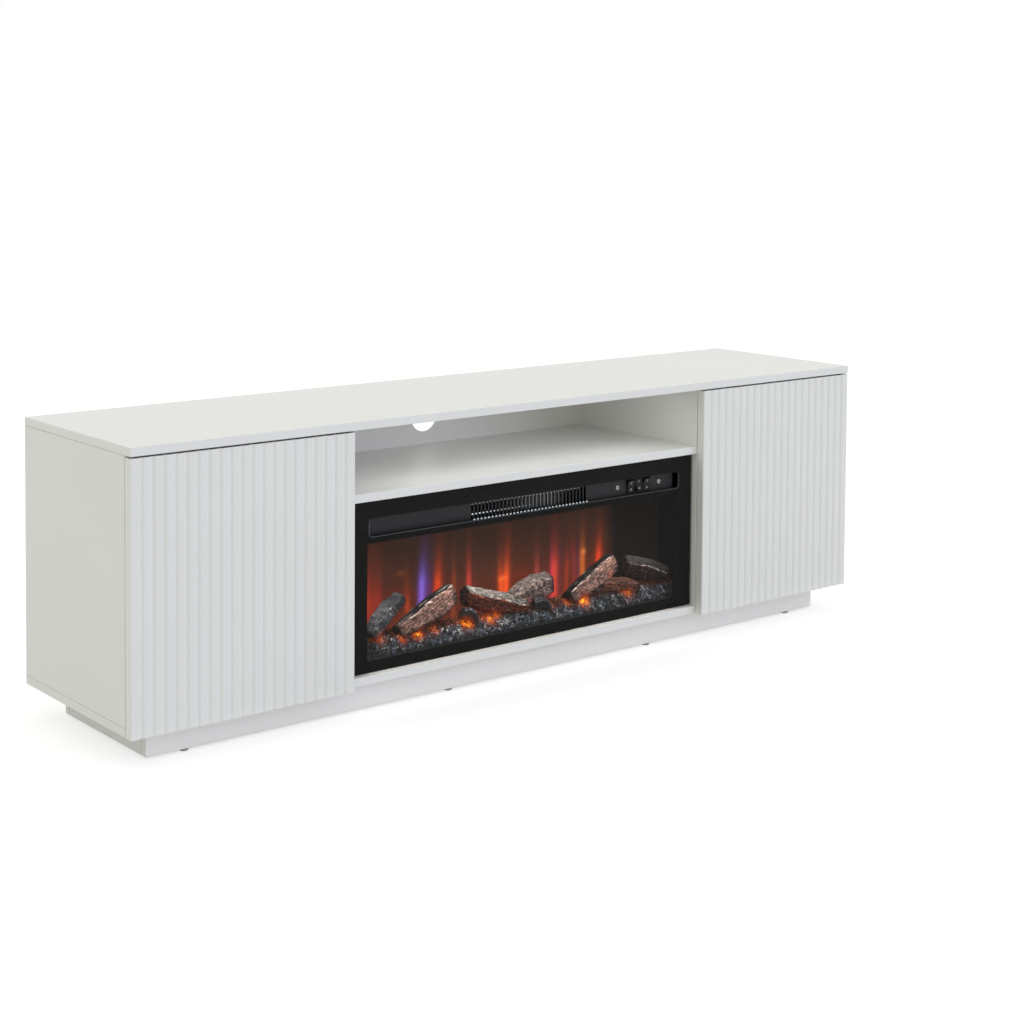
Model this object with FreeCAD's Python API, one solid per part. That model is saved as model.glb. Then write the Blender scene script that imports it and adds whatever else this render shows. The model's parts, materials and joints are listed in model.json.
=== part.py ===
import FreeCAD
import Part
import math
import os

from FreeCAD import Vector

# Low cabinet with two fluted doors, an open niche and an electric fireplace in the middle.
# Millimetres, +Z up, front at -Y, origin at the middle of the footprint on the floor.

# Carcass
cabinet_width = 1800.0
bay_width = 890.0
cabinet_depth = 400.0
cabinet_height = 550.0
board = 16.0
board_arris = 0.8
niche_height = 122.0
back_panel_thickness = 4.0
back_panel_inset = 14.0
groove_depth = 5.0
groove_fit = 0.15
cable_hole_radius = 35.0

# Cupboard shelves and their pins
shelf_setback = 45.0
shelf_end_gap = 0.6
shelf_back_gap = 2.0
shelf_height_share = 0.48
pin_radius = 2.5
pin_length = 16.0
pin_hole_depth = 8.0
pin_fit = 0.1
pin_depth_shares = (0.18, 0.82)

# Cam locks that pull the upright boards to the top and bottom panels
cam_radius = 7.5
cam_depth = 12.0
cam_edge = 24.0
cam_fit = 0.1
cam_depth_shares = (0.14, 0.8)
bolt_radius = 3.0
bolt_fit = 0.1
bolt_embed = 10.0

# Plinth and glides
glide_height = 4.0
glide_radius = 9.0
glide_taper = 1.5
glide_shares = (-0.907, -0.22, 0.4, 0.907)
plinth_height = 53.0
plinth_side_inset = 55.0
plinth_front_inset = 50.0
plinth_back_inset = 48.0
cross_rail_shares = (-0.34, 0.34)

# Doors with vertical flutes
door_thickness = 18.0
door_gap = 2.5
door_reveal = 3.0
flute_count = 21
flute_depth = 3.0
flute_shoulder = 6.5
flute_floor = 2.0
door_arris = 2.5

# Cup hinges: the pin stands upright near the outer edge of the door
hinge_axis_inset = 6.4
hinge_axis_depth = 9.0
hinge_end_margin = 96.0
hinge_pin_radius = 2.0
hinge_pin_fit = 0.05
cup_radius = 17.5
cup_setback = 22.5
cup_skin = 4.7
cup_fit = 0.1
cup_wall = 0.8
cup_flange_thickness = 1.0
cup_flange_width = 18.0
cup_flange_half_height = 27.0
nose_edge = 2.0
nose_half_height = 7.5
eye_radius = 3.0
arm_thickness = 2.4
arm_play = 0.6
arm_reach = 18.0
arm_length = 66.0
plate_setback = 20.0
plate_length = 44.0
plate_half_height = 22.0

# Push-to-open latches on the dividers
latch_width = 16.0
latch_length = 74.0
latch_setback = 2.0
latch_drop = 40.0
plunger_radius = 4.0
plunger_length = 62.0
plunger_fit = 0.08
plunger_gap = 0.3
latch_end_wall = 4.0
strike_radius = 8.0
strike_thickness = 1.0

# Fireplace front: glass, plate behind it and the strip opening for air and switches
glass_recess = 10.5
glass_thickness = 4.0
glass_gap = 1.5
plate_thickness = 1.2
strip_left_margin = 53.0
strip_right_margin = 41.0
strip_height = 34.0
strip_top_margin = 35.0
strip_corner = 8.0
window_side_margin = 52.0
window_top_margin = 82.0
window_bottom_margin = 22.0
window_corner = 3.0

# Casing and deck
sheet = 1.0
casing_side_gap = 12.0
casing_top_gap = 10.0
casing_depth = 165.0
deck_drop = 7.0
vent_count = 14
vent_width = 5.0
vent_height = 60.0
vent_pitch = 14.0
vent_centre_share = 0.6
clip_thickness = 1.5
clip_height = 30.0
clip_flange = 14.0
clip_height_share = 0.5
clip_depth_share = 0.3

# Control fascia with the air grille
fascia_setback = 8.0
fascia_end_gap = 6.0
fascia_overlap = 3.0
fascia_lip = 0.5
grille_half_length = 150.0
grille_slot_count = 33
grille_slot_width = 5.6
grille_top_margin = 4.0
screw_inner_margin = 163.0
screw_outer_margin = 46.0
screw_radius = 4.5
screw_head = 2.2
screw_shank_radius = 1.8
screw_shank_length = 6.0
screw_fit = 0.1

# Rocker switches
switch_margin = 105.0
switch_pitch = 22.4
switch_names = ("power_rocker", "low_heat_rocker", "high_heat_rocker")
switch_tilt_signs = (1, -1, 1)
bezel_width = 22.0
bezel_height = 30.0
bezel_thickness = 1.6
switch_body_width = 20.4
switch_body_height = 27.6
switch_body_depth = 22.0
switch_fit = 0.1
pocket_width = 18.6
pocket_height = 26.6
pocket_depth = 9.4
rocker_half_width = 8.8
rocker_half_height = 12.2
rocker_rim = 5.5
rocker_dip = 3.0
rocker_edge = 0.5
rocker_keel = 5.0
rocker_keel_half_height = 4.0
rocker_tilt = 8.0
pivot_depth = 2.5
trunnion_radius = 1.5
trunnion_fit = 0.05
trunnion_end_gap = 0.1

# Heater and blower behind the grille
heater_half_length = 142.0
heater_thickness = 16.0
heater_height = 38.0
heater_gap = 4.0
heater_rail = 4.0
heater_fin_count = 30
heater_fin_thickness = 1.6
wheel_radius = 20.0
wheel_half_length = 138.0
wheel_disc = 1.6
wheel_blade_count = 18
wheel_blade_width = 6.0
wheel_blade_thickness = 1.0
wheel_blade_lean = 35.0
wheel_shaft_radius = 3.0
wheel_clearance = 3.0
wheel_end_gap = 3.0
bearing_fit = 0.05
blower_setback = 62.0
blower_wall = 1.2
blower_mouth_share = 0.25
blower_motor_radius = 17.0
blower_motor_length = 34.0
motor_bore_depth = 12.0

# Flame screen, ember bed and logs
screen_setback = 82.0
screen_thickness = 3.0
bed_front_gap = 3.0
bed_end_gap = 6.0
bed_screen_gap = 2.0
bed_crest = 36.0
bed_depth_shares = (0.0, 0.22, 0.55, 0.85, 1.0)
bed_rise_shares = (0.0, 0.62, 1.0, 0.7, 0.45)
bed_wave_shares = (0.85, 0.95, 0.9, 0.8, 0.95, 0.85, 1.0, 0.9, 0.85)
log_pile_height = 90.0
log_radius = 20.0
log_bend = 7.0
log_girth_shares = (1.0, 0.86, 1.08, 0.92, 1.1, 0.84, 1.02, 0.94)
log_station_shares = (0.0, 0.3, 0.65, 1.0)
log_taper_shares = (0.86, 1.0, 1.04, 0.8)
log_bow_shares = (0.0, 0.8, 0.7, 0.0)
# Each log: two ends as shares of half the bed length, bed depth and pile height, then its girth share
log_end_shares = (
    ((-0.85, 0.4, 0.37), (-0.65, 0.66, 1.02), 0.85),
    ((-0.71, 0.34, 0.37), (-0.36, 0.68, 0.97), 0.98),
    ((-0.28, 0.68, 0.88), (0.04, 0.36, 0.38), 1.05),
    ((-0.03, 0.5, 0.52), (0.235, 0.66, 0.85), 1.05),
    ((0.3, 0.34, 0.38), (0.645, 0.68, 1.0), 0.98),
    ((0.72, 0.72, 0.9), (0.96, 0.38, 0.38), 0.95),
    ((0.5, 0.5, 0.4), (0.74, 0.28, 0.35), 0.8),
    ((-0.335, 0.36, 0.36), (-0.225, 0.2, 0.3), 0.62),
    ((0.085, 0.36, 0.36), (0.165, 0.22, 0.28), 0.62),
)

# Flicker rotor and light board behind the screen
rotor_setback = 34.0
rotor_height = 32.0
rotor_end_gap = 52.0
rotor_rod_radius = 3.0
rotor_flap_count = 12
rotor_flap_length = 44.0
rotor_flap_width = 22.0
rotor_flap_thickness = 0.8
rotor_flap_step = 50.0
rotor_flap_tilt = 8.0
bracket_thickness = 2.0
bracket_half_width = 9.0
bracket_rise = 9.0
rotor_motor_radius = 15.0
rotor_motor_length = 24.0
led_board_width = 12.0
led_board_thickness = 1.6
led_board_setback = 66.0
led_count = 24
led_size = 5.0
led_height = 1.4

# Cable gland in the casing back
gland_radius = 8.0
gland_flange_radius = 12.0
gland_flange = 3.0
gland_length = 14.0
gland_bore_radius = 4.0
gland_fit = 0.1
gland_inset = 60.0
gland_height = 45.0

# Run-out past a face for cuts that go right through
overrun = 5.0

# Places worked out from the sizes above
half_width = cabinet_width / 2
front = -cabinet_depth / 2
back = cabinet_depth / 2
door_back = front + door_thickness
carcass_front = door_back + door_gap
carcass_bottom = glide_height + plinth_height
cavity_bottom = carcass_bottom + board
cavity_top = cabinet_height - board
side_inner = half_width - board
bay_half = bay_width / 2
door_width = half_width - bay_half
divider_outer = bay_half + board
shelf_top = cavity_top - niche_height
shelf_bottom = shelf_top - board
back_panel_back = back - back_panel_inset
back_panel_front = back_panel_back - back_panel_thickness
shelf_front = carcass_front + shelf_setback
door_bottom = carcass_bottom
door_top = cavity_top - door_reveal
hinge_heights = (door_bottom + hinge_end_margin, door_top - hinge_end_margin)
glass_front = carcass_front + glass_recess
glass_back = glass_front + glass_thickness
plate_back = glass_back + plate_thickness
glass_half = bay_half - glass_gap
glass_bottom = cavity_bottom + glass_gap
glass_top = shelf_bottom - glass_gap
strip_left = -bay_half + strip_left_margin
strip_right = bay_half - strip_right_margin
strip_centre = (strip_left + strip_right) / 2
strip_top = shelf_bottom - strip_top_margin
strip_bottom = strip_top - strip_height
strip_middle = strip_bottom + strip_height / 2
screw_places = (strip_right - screw_inner_margin, strip_right - screw_outer_margin)
window_half = bay_half - window_side_margin
window_bottom = cavity_bottom + window_bottom_margin
window_top = shelf_bottom - window_top_margin
casing_half = bay_half - casing_side_gap
casing_top = shelf_bottom - casing_top_gap
casing_back = plate_back + casing_depth
casing_floor = cavity_bottom + sheet
inner_half = casing_half - sheet
deck_top = strip_bottom - deck_drop
deck_bottom = deck_top - sheet
web_front = plate_back + fascia_setback
web_back = web_front + sheet
bezel_front = web_front - bezel_thickness
pivot_y = bezel_front + pivot_depth
screen_front = plate_back + screen_setback
screen_back = screen_front + screen_thickness
bed_front = plate_back + bed_front_gap
bed_back = screen_front - bed_screen_gap
bed_depth = bed_back - bed_front
bed_half = inner_half - bed_end_gap
wheel_y = web_back + blower_setback
wheel_z = (deck_top + casing_top - sheet) / 2
shell_radius = wheel_radius + wheel_clearance
blower_half = wheel_half_length + wheel_end_gap
rotor_y = screen_back + rotor_setback
rotor_z = casing_floor + rotor_height
rotor_half_length = inner_half - rotor_end_gap

x_axis = Vector(1, 0, 0)
y_axis = Vector(0, 1, 0)
z_axis = Vector(0, 0, 1)
sides = {"left": -1, "right": 1}


def block(x0, x1, y0, y1, z0, z1):
    low = Vector(min(x0, x1), min(y0, y1), min(z0, z1))
    return Part.makeBox(abs(x1 - x0), abs(y1 - y0), abs(z1 - z0), low)


def panel(x0, x1, y0, y1, z0, z1):
    # Board with eased edges
    blank = block(x0, x1, y0, y1, z0, z1)
    return blank.makeChamfer(board_arris, blank.Edges)


def bar_at(x, width, y0, y1, z0, z1):
    # Block centred on x
    return block(x - width / 2, x + width / 2, y0, y1, z0, z1)


def rod(radius, start, length, axis):
    return Part.makeCylinder(radius, length, start, axis)


def rounded_plate(x0, x1, y0, y1, z0, z1, corner):
    plate = block(x0, x1, y0, y1, z0, z1)
    through = [e for e in plate.Edges if e.BoundBox.YLength > e.BoundBox.XLength + e.BoundBox.ZLength]
    return plate.makeFillet(corner, through)


# Carcass boards

back_panel_spans = {
    "left_back_panel": (-side_inner, -divider_outer, cavity_bottom, cavity_top),
    "niche_back_panel": (-bay_half, bay_half, shelf_top, cavity_top),
    "right_back_panel": (divider_outer, side_inner, cavity_bottom, cavity_top),
}


def back_groove(span):
    x0, x1, z0, z1 = span
    return block(x0 - groove_depth, x1 + groove_depth,
                 back_panel_front - groove_fit, back_panel_back + groove_fit,
                 z0 - groove_depth, z1 + groove_depth)


def back_panel(span):
    x0, x1, z0, z1 = span
    reach = groove_depth - groove_fit
    return block(x0 - reach, x1 + reach, back_panel_front, back_panel_back, z0 - reach, z1 + reach)


def cable_hole():
    hole_start = Vector(0, back_panel_front - overrun, (shelf_top + cavity_top) / 2)
    return rod(cable_hole_radius, hole_start, back_panel_thickness + 2 * overrun, y_axis)


def depth_place(share):
    return carcass_front + share * (back_panel_front - carcass_front)


def cam_joints():
    # A cam sits in the cupboard face of each upright; its bolt runs up or down into the panel beyond
    cams, bolts, cam_holes, bolt_holes = [], [], [], []
    for sign in sides.values():
        for face_x, inward in ((sign * side_inner, sign), (sign * divider_outer, -sign)):
            middle_x = face_x + inward * board / 2
            for share in cam_depth_shares:
                y = depth_place(share)
                for seam, up in ((cavity_top, 1), (cavity_bottom, -1)):
                    cam_z = seam - up * cam_edge
                    start = Vector(face_x, y, cam_z)
                    along = Vector(inward, 0, 0)
                    cams.append(rod(cam_radius, start, cam_depth, along))
                    cam_holes.append(rod(cam_radius + cam_fit, start, cam_depth + cam_fit, along))
                    bolt_start = Vector(middle_x, y, cam_z + up * (cam_radius + cam_fit))
                    length = cam_edge - cam_radius - cam_fit + bolt_embed
                    bolts.append(rod(bolt_radius, bolt_start, length, Vector(0, 0, up)))
                    hole_start = Vector(middle_x, y, cam_z)
                    hole_length = cam_edge + bolt_embed + bolt_fit
                    bolt_holes.append(rod(bolt_radius + bolt_fit, hole_start, hole_length, Vector(0, 0, up)))
    return cams, bolts, cam_holes + bolt_holes


def shelf_underside():
    return cavity_bottom + shelf_height_share * (cavity_top - cavity_bottom)


def shelf_pins():
    pins, holes = [], []
    for sign in sides.values():
        for face_x, inward in ((sign * side_inner, sign), (sign * divider_outer, -sign)):
            for share in pin_depth_shares:
                y = shelf_front + share * (back_panel_front - shelf_front)
                z = shelf_underside() - pin_radius
                start = Vector(face_x + inward * pin_hole_depth, y, z)
                pins.append(rod(pin_radius, start, pin_length, Vector(-inward, 0, 0)))
                deep = Vector(face_x + inward * (pin_hole_depth + pin_fit), y, z)
                hole_length = pin_hole_depth + pin_fit
                holes.append(rod(pin_radius + pin_fit, deep, hole_length, Vector(-inward, 0, 0)))
    return pins, holes


def cupboard_shelf(sign):
    z0 = shelf_underside()
    return panel(sign * (divider_outer + shelf_end_gap), sign * (side_inner - shelf_end_gap),
                 shelf_front, back_panel_front - shelf_back_gap, z0, z0 + board)


def carcass(nodes):
    cams, bolts, joint_holes = cam_joints()
    pins, pin_holes = shelf_pins()
    cutters = [back_groove(span) for span in back_panel_spans.values()] + joint_holes + pin_holes
    boards = {
        "top_panel": panel(-half_width, half_width, front, back, cavity_top, cabinet_height),
        "bottom_panel": panel(-half_width, half_width, carcass_front, back, carcass_bottom, cavity_bottom),
        "niche_shelf": panel(-bay_half, bay_half, carcass_front, back, shelf_bottom, shelf_top),
    }
    for name, sign in sides.items():
        boards[name + "_side_panel"] = panel(sign * side_inner, sign * half_width, carcass_front, back,
                                             cavity_bottom, cavity_top)
        boards[name + "_divider"] = panel(sign * bay_half, sign * divider_outer, carcass_front, back,
                                          cavity_bottom, cavity_top)
        nodes[name + "_shelf"] = cupboard_shelf(sign)
    for name, solid in boards.items():
        nodes[name] = solid.cut(cutters)
    for name, span in back_panel_spans.items():
        nodes[name] = back_panel(span)
    nodes["niche_back_panel"] = nodes["niche_back_panel"].cut(cable_hole())
    nodes["cam_locks"] = cams
    nodes["cam_bolts"] = bolts
    nodes["shelf_pins"] = pins


# Plinth

def plinth(nodes):
    outer = half_width - plinth_side_inset
    front_y = front + plinth_front_inset
    back_y = back - plinth_back_inset
    nodes["plinth_front"] = panel(-outer, outer, front_y, front_y + board, glide_height, carcass_bottom)
    nodes["plinth_back"] = panel(-outer, outer, back_y - board, back_y, glide_height, carcass_bottom)
    for name, sign in sides.items():
        nodes["plinth_" + name] = panel(sign * (outer - board), sign * outer,
                                        front_y + board, back_y - board, glide_height, carcass_bottom)
    nodes["plinth_cross_rails"] = [
        panel(share * outer - board / 2, share * outer + board / 2, front_y + board, back_y - board,
              glide_height, carcass_bottom) for share in cross_rail_shares]
    nodes["glides"] = [
        Part.makeCone(glide_radius - glide_taper, glide_radius, glide_height, Vector(share * outer, y, 0))
        for share in glide_shares for y in (front_y + board / 2, back_y - board / 2)]


# Doors

def flute_edges(points):
    return [Part.LineSegment(a, b).toShape() for a, b in zip(points, points[1:])]


def fluted_profile():
    # Plan of a door from its outer edge: flat ribs, rounded shoulders that fall to narrow floors
    pitch = door_width / flute_count
    radius = (flute_shoulder ** 2 + flute_depth ** 2) / (2 * flute_depth)
    half_turn = math.asin(flute_shoulder / radius) / 2
    over = radius * math.sin(half_turn)
    down = radius * (1 - math.cos(half_turn))
    corner = door_arris * (1 - math.cos(math.pi / 4))
    last = Vector(door_arris, 0, 0)
    edges = [Part.Arc(Vector(0, door_arris, 0), Vector(corner, corner, 0), last).toShape()]
    for i in range(1, flute_count):
        middle = i * pitch
        lip = flute_floor / 2 + flute_shoulder
        a = Vector(middle - lip, 0, 0)
        b = Vector(middle - flute_floor / 2, flute_depth, 0)
        c = Vector(middle + flute_floor / 2, flute_depth, 0)
        d = Vector(middle + lip, 0, 0)
        edges.append(Part.LineSegment(last, a).toShape())
        edges.append(Part.Arc(a, a + Vector(over, down, 0), b).toShape())
        edges.append(Part.LineSegment(b, c).toShape())
        edges.append(Part.Arc(c, d + Vector(-over, down, 0), d).toShape())
        last = d
    end = Vector(door_width - door_arris, 0, 0)
    edges.append(Part.LineSegment(last, end).toShape())
    turn = Vector(door_width, door_arris, 0)
    edges.append(Part.Arc(end, Vector(door_width - corner, corner, 0), turn).toShape())
    edges += flute_edges([turn, Vector(door_width, door_thickness, 0),
                          Vector(0, door_thickness, 0), Vector(0, door_arris, 0)])
    return Part.Wire(edges)


def door_x(sign, inset):
    return sign * (half_width - inset)


def cup_form(sign, z, grow, v0, v1):
    # Round cup with a straight nose towards the outer edge, between two depths from the door front
    drum = rod(cup_radius + grow, Vector(door_x(sign, cup_setback), front + v0, z), v1 - v0, y_axis)
    nose = block(door_x(sign, nose_edge - grow), door_x(sign, cup_setback), front + v0, front + v1,
                 z - nose_half_height - grow, z + nose_half_height + grow)
    return drum.fuse(nose)


def door(sign):
    slab = Part.Face(fluted_profile()).extrude(Vector(0, 0, door_top - door_bottom))
    if sign < 0:
        slab.translate(Vector(-half_width, front, door_bottom))
    else:
        slab.translate(Vector(half_width - door_width, front, door_bottom))
    pockets = [cup_form(sign, z, 0, cup_skin, door_thickness + overrun) for z in hinge_heights]
    return slab.cut(pockets)


def hinge_cup(sign, z):
    shell = cup_form(sign, z, -cup_fit, cup_skin + cup_fit, door_thickness + cup_flange_thickness)
    x = door_x(sign, cup_setback)
    flange = bar_at(x, cup_flange_width, door_back, door_back + cup_flange_thickness,
                    z - cup_flange_half_height, z + cup_flange_half_height)
    hollow = cup_form(sign, z, -cup_fit - cup_wall, cup_skin + cup_fit + cup_wall, door_thickness + overrun)
    pin_hole = rod(hinge_pin_radius + hinge_pin_fit, hinge_point(sign, z - nose_half_height - overrun),
                   2 * (nose_half_height + overrun), z_axis)
    return shell.fuse(flange).cut(hollow).cut(pin_hole).removeSplitter()


def hinge_point(sign, z):
    return Vector(door_x(sign, hinge_axis_inset), front + hinge_axis_depth, z)


def hinge_pin(sign, z):
    half = nose_half_height - cup_fit
    return rod(hinge_pin_radius, hinge_point(sign, z - half), 2 * half, z_axis)


def hinge_arm(sign, z):
    # Eye on the pin, a bar across the cup and a leg that runs back over the mounting plate
    half = nose_half_height - cup_fit - cup_wall - arm_play
    bend_inset = hinge_axis_inset + arm_reach
    axis_y = front + hinge_axis_depth
    eye = rod(eye_radius, hinge_point(sign, z - half), 2 * half, z_axis)
    bar = block(door_x(sign, hinge_axis_inset), door_x(sign, bend_inset + arm_thickness / 2),
                axis_y - arm_thickness / 2, axis_y + arm_thickness / 2, z - half, z + half)
    leg = block(door_x(sign, bend_inset - arm_thickness / 2), door_x(sign, bend_inset + arm_thickness / 2),
                axis_y, axis_y + arm_length, z - half, z + half)
    bore_start = hinge_point(sign, z - half - overrun)
    bore = rod(hinge_pin_radius + hinge_pin_fit, bore_start, 2 * (half + overrun), z_axis)
    return eye.fuse([bar, leg]).cut(bore).removeSplitter()


def hinge_plate(sign, z):
    face_inset = hinge_axis_inset + arm_reach - arm_thickness / 2
    y0 = carcass_front + plate_setback
    low = (board + face_inset) / 2
    half = nose_half_height
    wing = block(door_x(sign, board), door_x(sign, low), y0 + plate_length / 4, y0 + plate_length * 3 / 4,
                 z - plate_half_height, z + plate_half_height)
    ridge = block(door_x(sign, board), door_x(sign, face_inset), y0, y0 + plate_length, z - half, z + half)
    return wing.fuse(ridge).removeSplitter()


def latch_axis(sign):
    return sign * (divider_outer + latch_width / 2), cavity_top - latch_drop


def strike(sign):
    x, z = latch_axis(sign)
    return rod(strike_radius, Vector(x, door_back, z), strike_thickness, y_axis)


def plunger(sign):
    x, z = latch_axis(sign)
    tip = Vector(x, door_back + strike_thickness + plunger_gap, z)
    return rod(plunger_radius, tip, plunger_length, y_axis)


def latch_housing(sign):
    x, z = latch_axis(sign)
    y0 = carcass_front + latch_setback
    half = latch_width / 2
    body = bar_at(x, latch_width, y0, y0 + latch_length, z - half, z + half)
    depth = latch_length - latch_end_wall
    bore = rod(plunger_radius + plunger_fit, Vector(x, y0 - overrun, z), depth + overrun, y_axis)
    return body.cut(bore)


def doors(nodes):
    arms, plates, housings = [], [], []
    for name, sign in sides.items():
        nodes[name + "_door"] = door(sign)
        nodes[name + "_hinge_cups"] = [hinge_cup(sign, z) for z in hinge_heights]
        nodes[name + "_hinge_pins"] = [hinge_pin(sign, z) for z in hinge_heights]
        nodes[name + "_strike"] = strike(sign)
        nodes[name + "_latch_plunger"] = plunger(sign)
        arms += [hinge_arm(sign, z) for z in hinge_heights]
        plates += [hinge_plate(sign, z) for z in hinge_heights]
        housings.append(latch_housing(sign))
    nodes["hinge_arms"] = arms
    nodes["hinge_plates"] = plates
    nodes["latch_housings"] = housings


# Fireplace front

def strip_cut():
    return rounded_plate(strip_left, strip_right, glass_front - overrun, plate_back + overrun,
                         strip_bottom, strip_top, strip_corner)


def front_glass():
    pane = block(-glass_half, glass_half, glass_front, glass_back, glass_bottom, glass_top)
    return pane.cut(strip_cut())


def front_plate():
    plate = block(-glass_half, glass_half, glass_back, plate_back, glass_bottom, glass_top)
    window = rounded_plate(-window_half, window_half, glass_back - overrun, plate_back + overrun,
                           window_bottom, window_top, window_corner)
    return plate.cut([strip_cut(), window])


def casing():
    outer = block(-casing_half, casing_half, plate_back, casing_back, cavity_bottom, casing_top)
    hollow = block(-inner_half, inner_half, plate_back - overrun, casing_back - sheet,
                   casing_floor, casing_top - sheet)
    vents = []
    middle_z = casing_floor + vent_centre_share * (casing_top - casing_floor)
    for i in range(vent_count):
        x = (i - (vent_count - 1) / 2) * vent_pitch
        vents.append(bar_at(x, vent_width, casing_back - sheet - overrun, casing_back + overrun,
                            middle_z - vent_height / 2, middle_z + vent_height / 2))
    gland_hole = rod(gland_radius + gland_fit, gland_start(-overrun), sheet + 2 * overrun, y_axis)
    return outer.cut([hollow] + vents + [gland_hole])


def gland_start(ahead):
    return Vector(casing_half - gland_inset, casing_back - sheet + ahead, cavity_bottom + gland_height)


def cable_gland():
    sleeve = rod(gland_radius, gland_start(0), gland_length, y_axis)
    flange = rod(gland_flange_radius, gland_start(sheet), gland_flange, y_axis)
    bore = rod(gland_bore_radius, gland_start(-overrun), gland_length + 2 * overrun, y_axis)
    return sleeve.fuse(flange).cut(bore)


def casing_clip(sign):
    z = casing_floor + clip_height_share * (casing_top - casing_floor)
    y = plate_back + clip_depth_share * casing_depth
    z0 = z - clip_height / 2
    z1 = z + clip_height / 2
    bridge = block(sign * casing_half, sign * bay_half, y, y + clip_thickness, z0, z1)
    on_case = block(sign * casing_half, sign * (casing_half + clip_thickness), y, y + clip_flange, z0, z1)
    on_board = block(sign * (bay_half - clip_thickness), sign * bay_half, y, y + clip_flange, z0, z1)
    return bridge.fuse([on_case, on_board]).removeSplitter()


# Control fascia and switches

def switch_places():
    return [strip_right - switch_margin + (i - (len(switch_names) - 1) / 2) * switch_pitch
            for i in range(len(switch_names))]


def control_fascia():
    x0 = strip_left + fascia_end_gap
    x1 = strip_right - fascia_end_gap
    shelf_z = strip_bottom - fascia_lip
    web = block(x0, x1, web_front, web_back, shelf_z - sheet, strip_top + fascia_overlap)
    lip = block(x0, x1, plate_back, web_back, shelf_z - sheet, shelf_z)
    cuts = []
    pitch = 2 * grille_half_length / grille_slot_count
    for i in range(grille_slot_count):
        x = strip_centre - grille_half_length + (i + 0.5) * pitch
        cuts.append(bar_at(x, grille_slot_width, plate_back + sheet, web_back + overrun,
                           shelf_z - sheet - overrun, strip_top - grille_top_margin))
    for x in switch_places():
        half = switch_body_height / 2 + switch_fit
        cuts.append(bar_at(x, switch_body_width + 2 * switch_fit, web_front - overrun, web_back + overrun,
                           strip_middle - half, strip_middle + half))
    for x in screw_places:
        start = Vector(x, web_front - overrun, strip_middle)
        cuts.append(rod(screw_shank_radius + screw_fit, start, sheet + 2 * overrun, y_axis))
    return web.fuse(lip).removeSplitter().cut(cuts)


def fascia_screw(x):
    head = Part.makeCone(screw_radius - screw_head / 2, screw_radius, screw_head,
                         Vector(x, web_front - screw_head, strip_middle), y_axis)
    shank = rod(screw_shank_radius, Vector(x, web_front, strip_middle), screw_shank_length, y_axis)
    return head.fuse(shank)


def trunnion(x, radius, half):
    return rod(radius, Vector(x - half, pivot_y, strip_middle), 2 * half, x_axis)


def switch_housing(x):
    bezel = bar_at(x, bezel_width, bezel_front, web_front,
                   strip_middle - bezel_height / 2, strip_middle + bezel_height / 2)
    body = bar_at(x, switch_body_width, web_front, web_front + switch_body_depth,
                  strip_middle - switch_body_height / 2, strip_middle + switch_body_height / 2)
    pocket = bar_at(x, pocket_width, bezel_front - overrun, bezel_front + pocket_depth,
                    strip_middle - pocket_height / 2, strip_middle + pocket_height / 2)
    hole = trunnion(x, trunnion_radius + trunnion_fit, switch_body_width / 2 - trunnion_end_gap / 2)
    return bezel.fuse(body).removeSplitter().cut([pocket, hole])


def rocker(x, tilt_sign):
    # Shallow V across the face, a keel behind, and a trunnion at each end
    outline = ((rocker_rim, rocker_half_height), (rocker_dip, 0), (rocker_rim, -rocker_half_height),
               (rocker_edge, -rocker_half_height), (-rocker_keel, -rocker_keel_half_height),
               (-rocker_keel, rocker_keel_half_height), (rocker_edge, rocker_half_height))
    points = [Vector(x - rocker_half_width, pivot_y - ahead, strip_middle + up) for ahead, up in outline]
    cap = Part.Face(Part.makePolygon(points + points[:1])).extrude(Vector(2 * rocker_half_width, 0, 0))
    solid = cap.fuse(trunnion(x, trunnion_radius, switch_body_width / 2 - trunnion_end_gap))
    solid.rotate(Vector(x, pivot_y, strip_middle), x_axis, tilt_sign * rocker_tilt)
    return solid


# Heater and blower

def heater_core():
    y0 = web_back + heater_gap
    y1 = y0 + heater_thickness
    core = block(-heater_half_length, heater_half_length, y0, y1, deck_top, deck_top + heater_height)
    pitch = 2 * heater_half_length / heater_fin_count
    low = deck_top + heater_rail
    high = deck_top + heater_height - heater_rail
    gaps = [bar_at((i + 0.5) * pitch - heater_half_length, pitch - heater_fin_thickness,
                   y0 - overrun, y1 + overrun, low, high) for i in range(heater_fin_count)]
    return core.cut(gaps)


def blower_wheel():
    centre = Vector(0, wheel_y, wheel_z)
    shaft_start = Vector(-blower_half - blower_wall, wheel_y, wheel_z)
    parts = []
    for place in (-wheel_half_length, -wheel_disc / 2, wheel_half_length - wheel_disc):
        parts.append(rod(wheel_radius, Vector(place, wheel_y, wheel_z), wheel_disc, x_axis))
    for i in range(wheel_blade_count):
        blade = block(-wheel_half_length, wheel_half_length, wheel_y - wheel_blade_thickness / 2,
                      wheel_y + wheel_blade_thickness / 2, wheel_z + wheel_radius - wheel_blade_width,
                      wheel_z + wheel_radius - wheel_blade_thickness)
        root = Vector(0, wheel_y, wheel_z + wheel_radius - wheel_blade_width / 2)
        blade.rotate(root, x_axis, wheel_blade_lean)
        blade.rotate(centre, x_axis, i * 360 / wheel_blade_count)
        parts.append(blade)
    shaft_length = 2 * (blower_half + blower_wall) + motor_bore_depth - bearing_fit
    return rod(wheel_shaft_radius, shaft_start, shaft_length, x_axis).fuse(parts)


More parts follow.
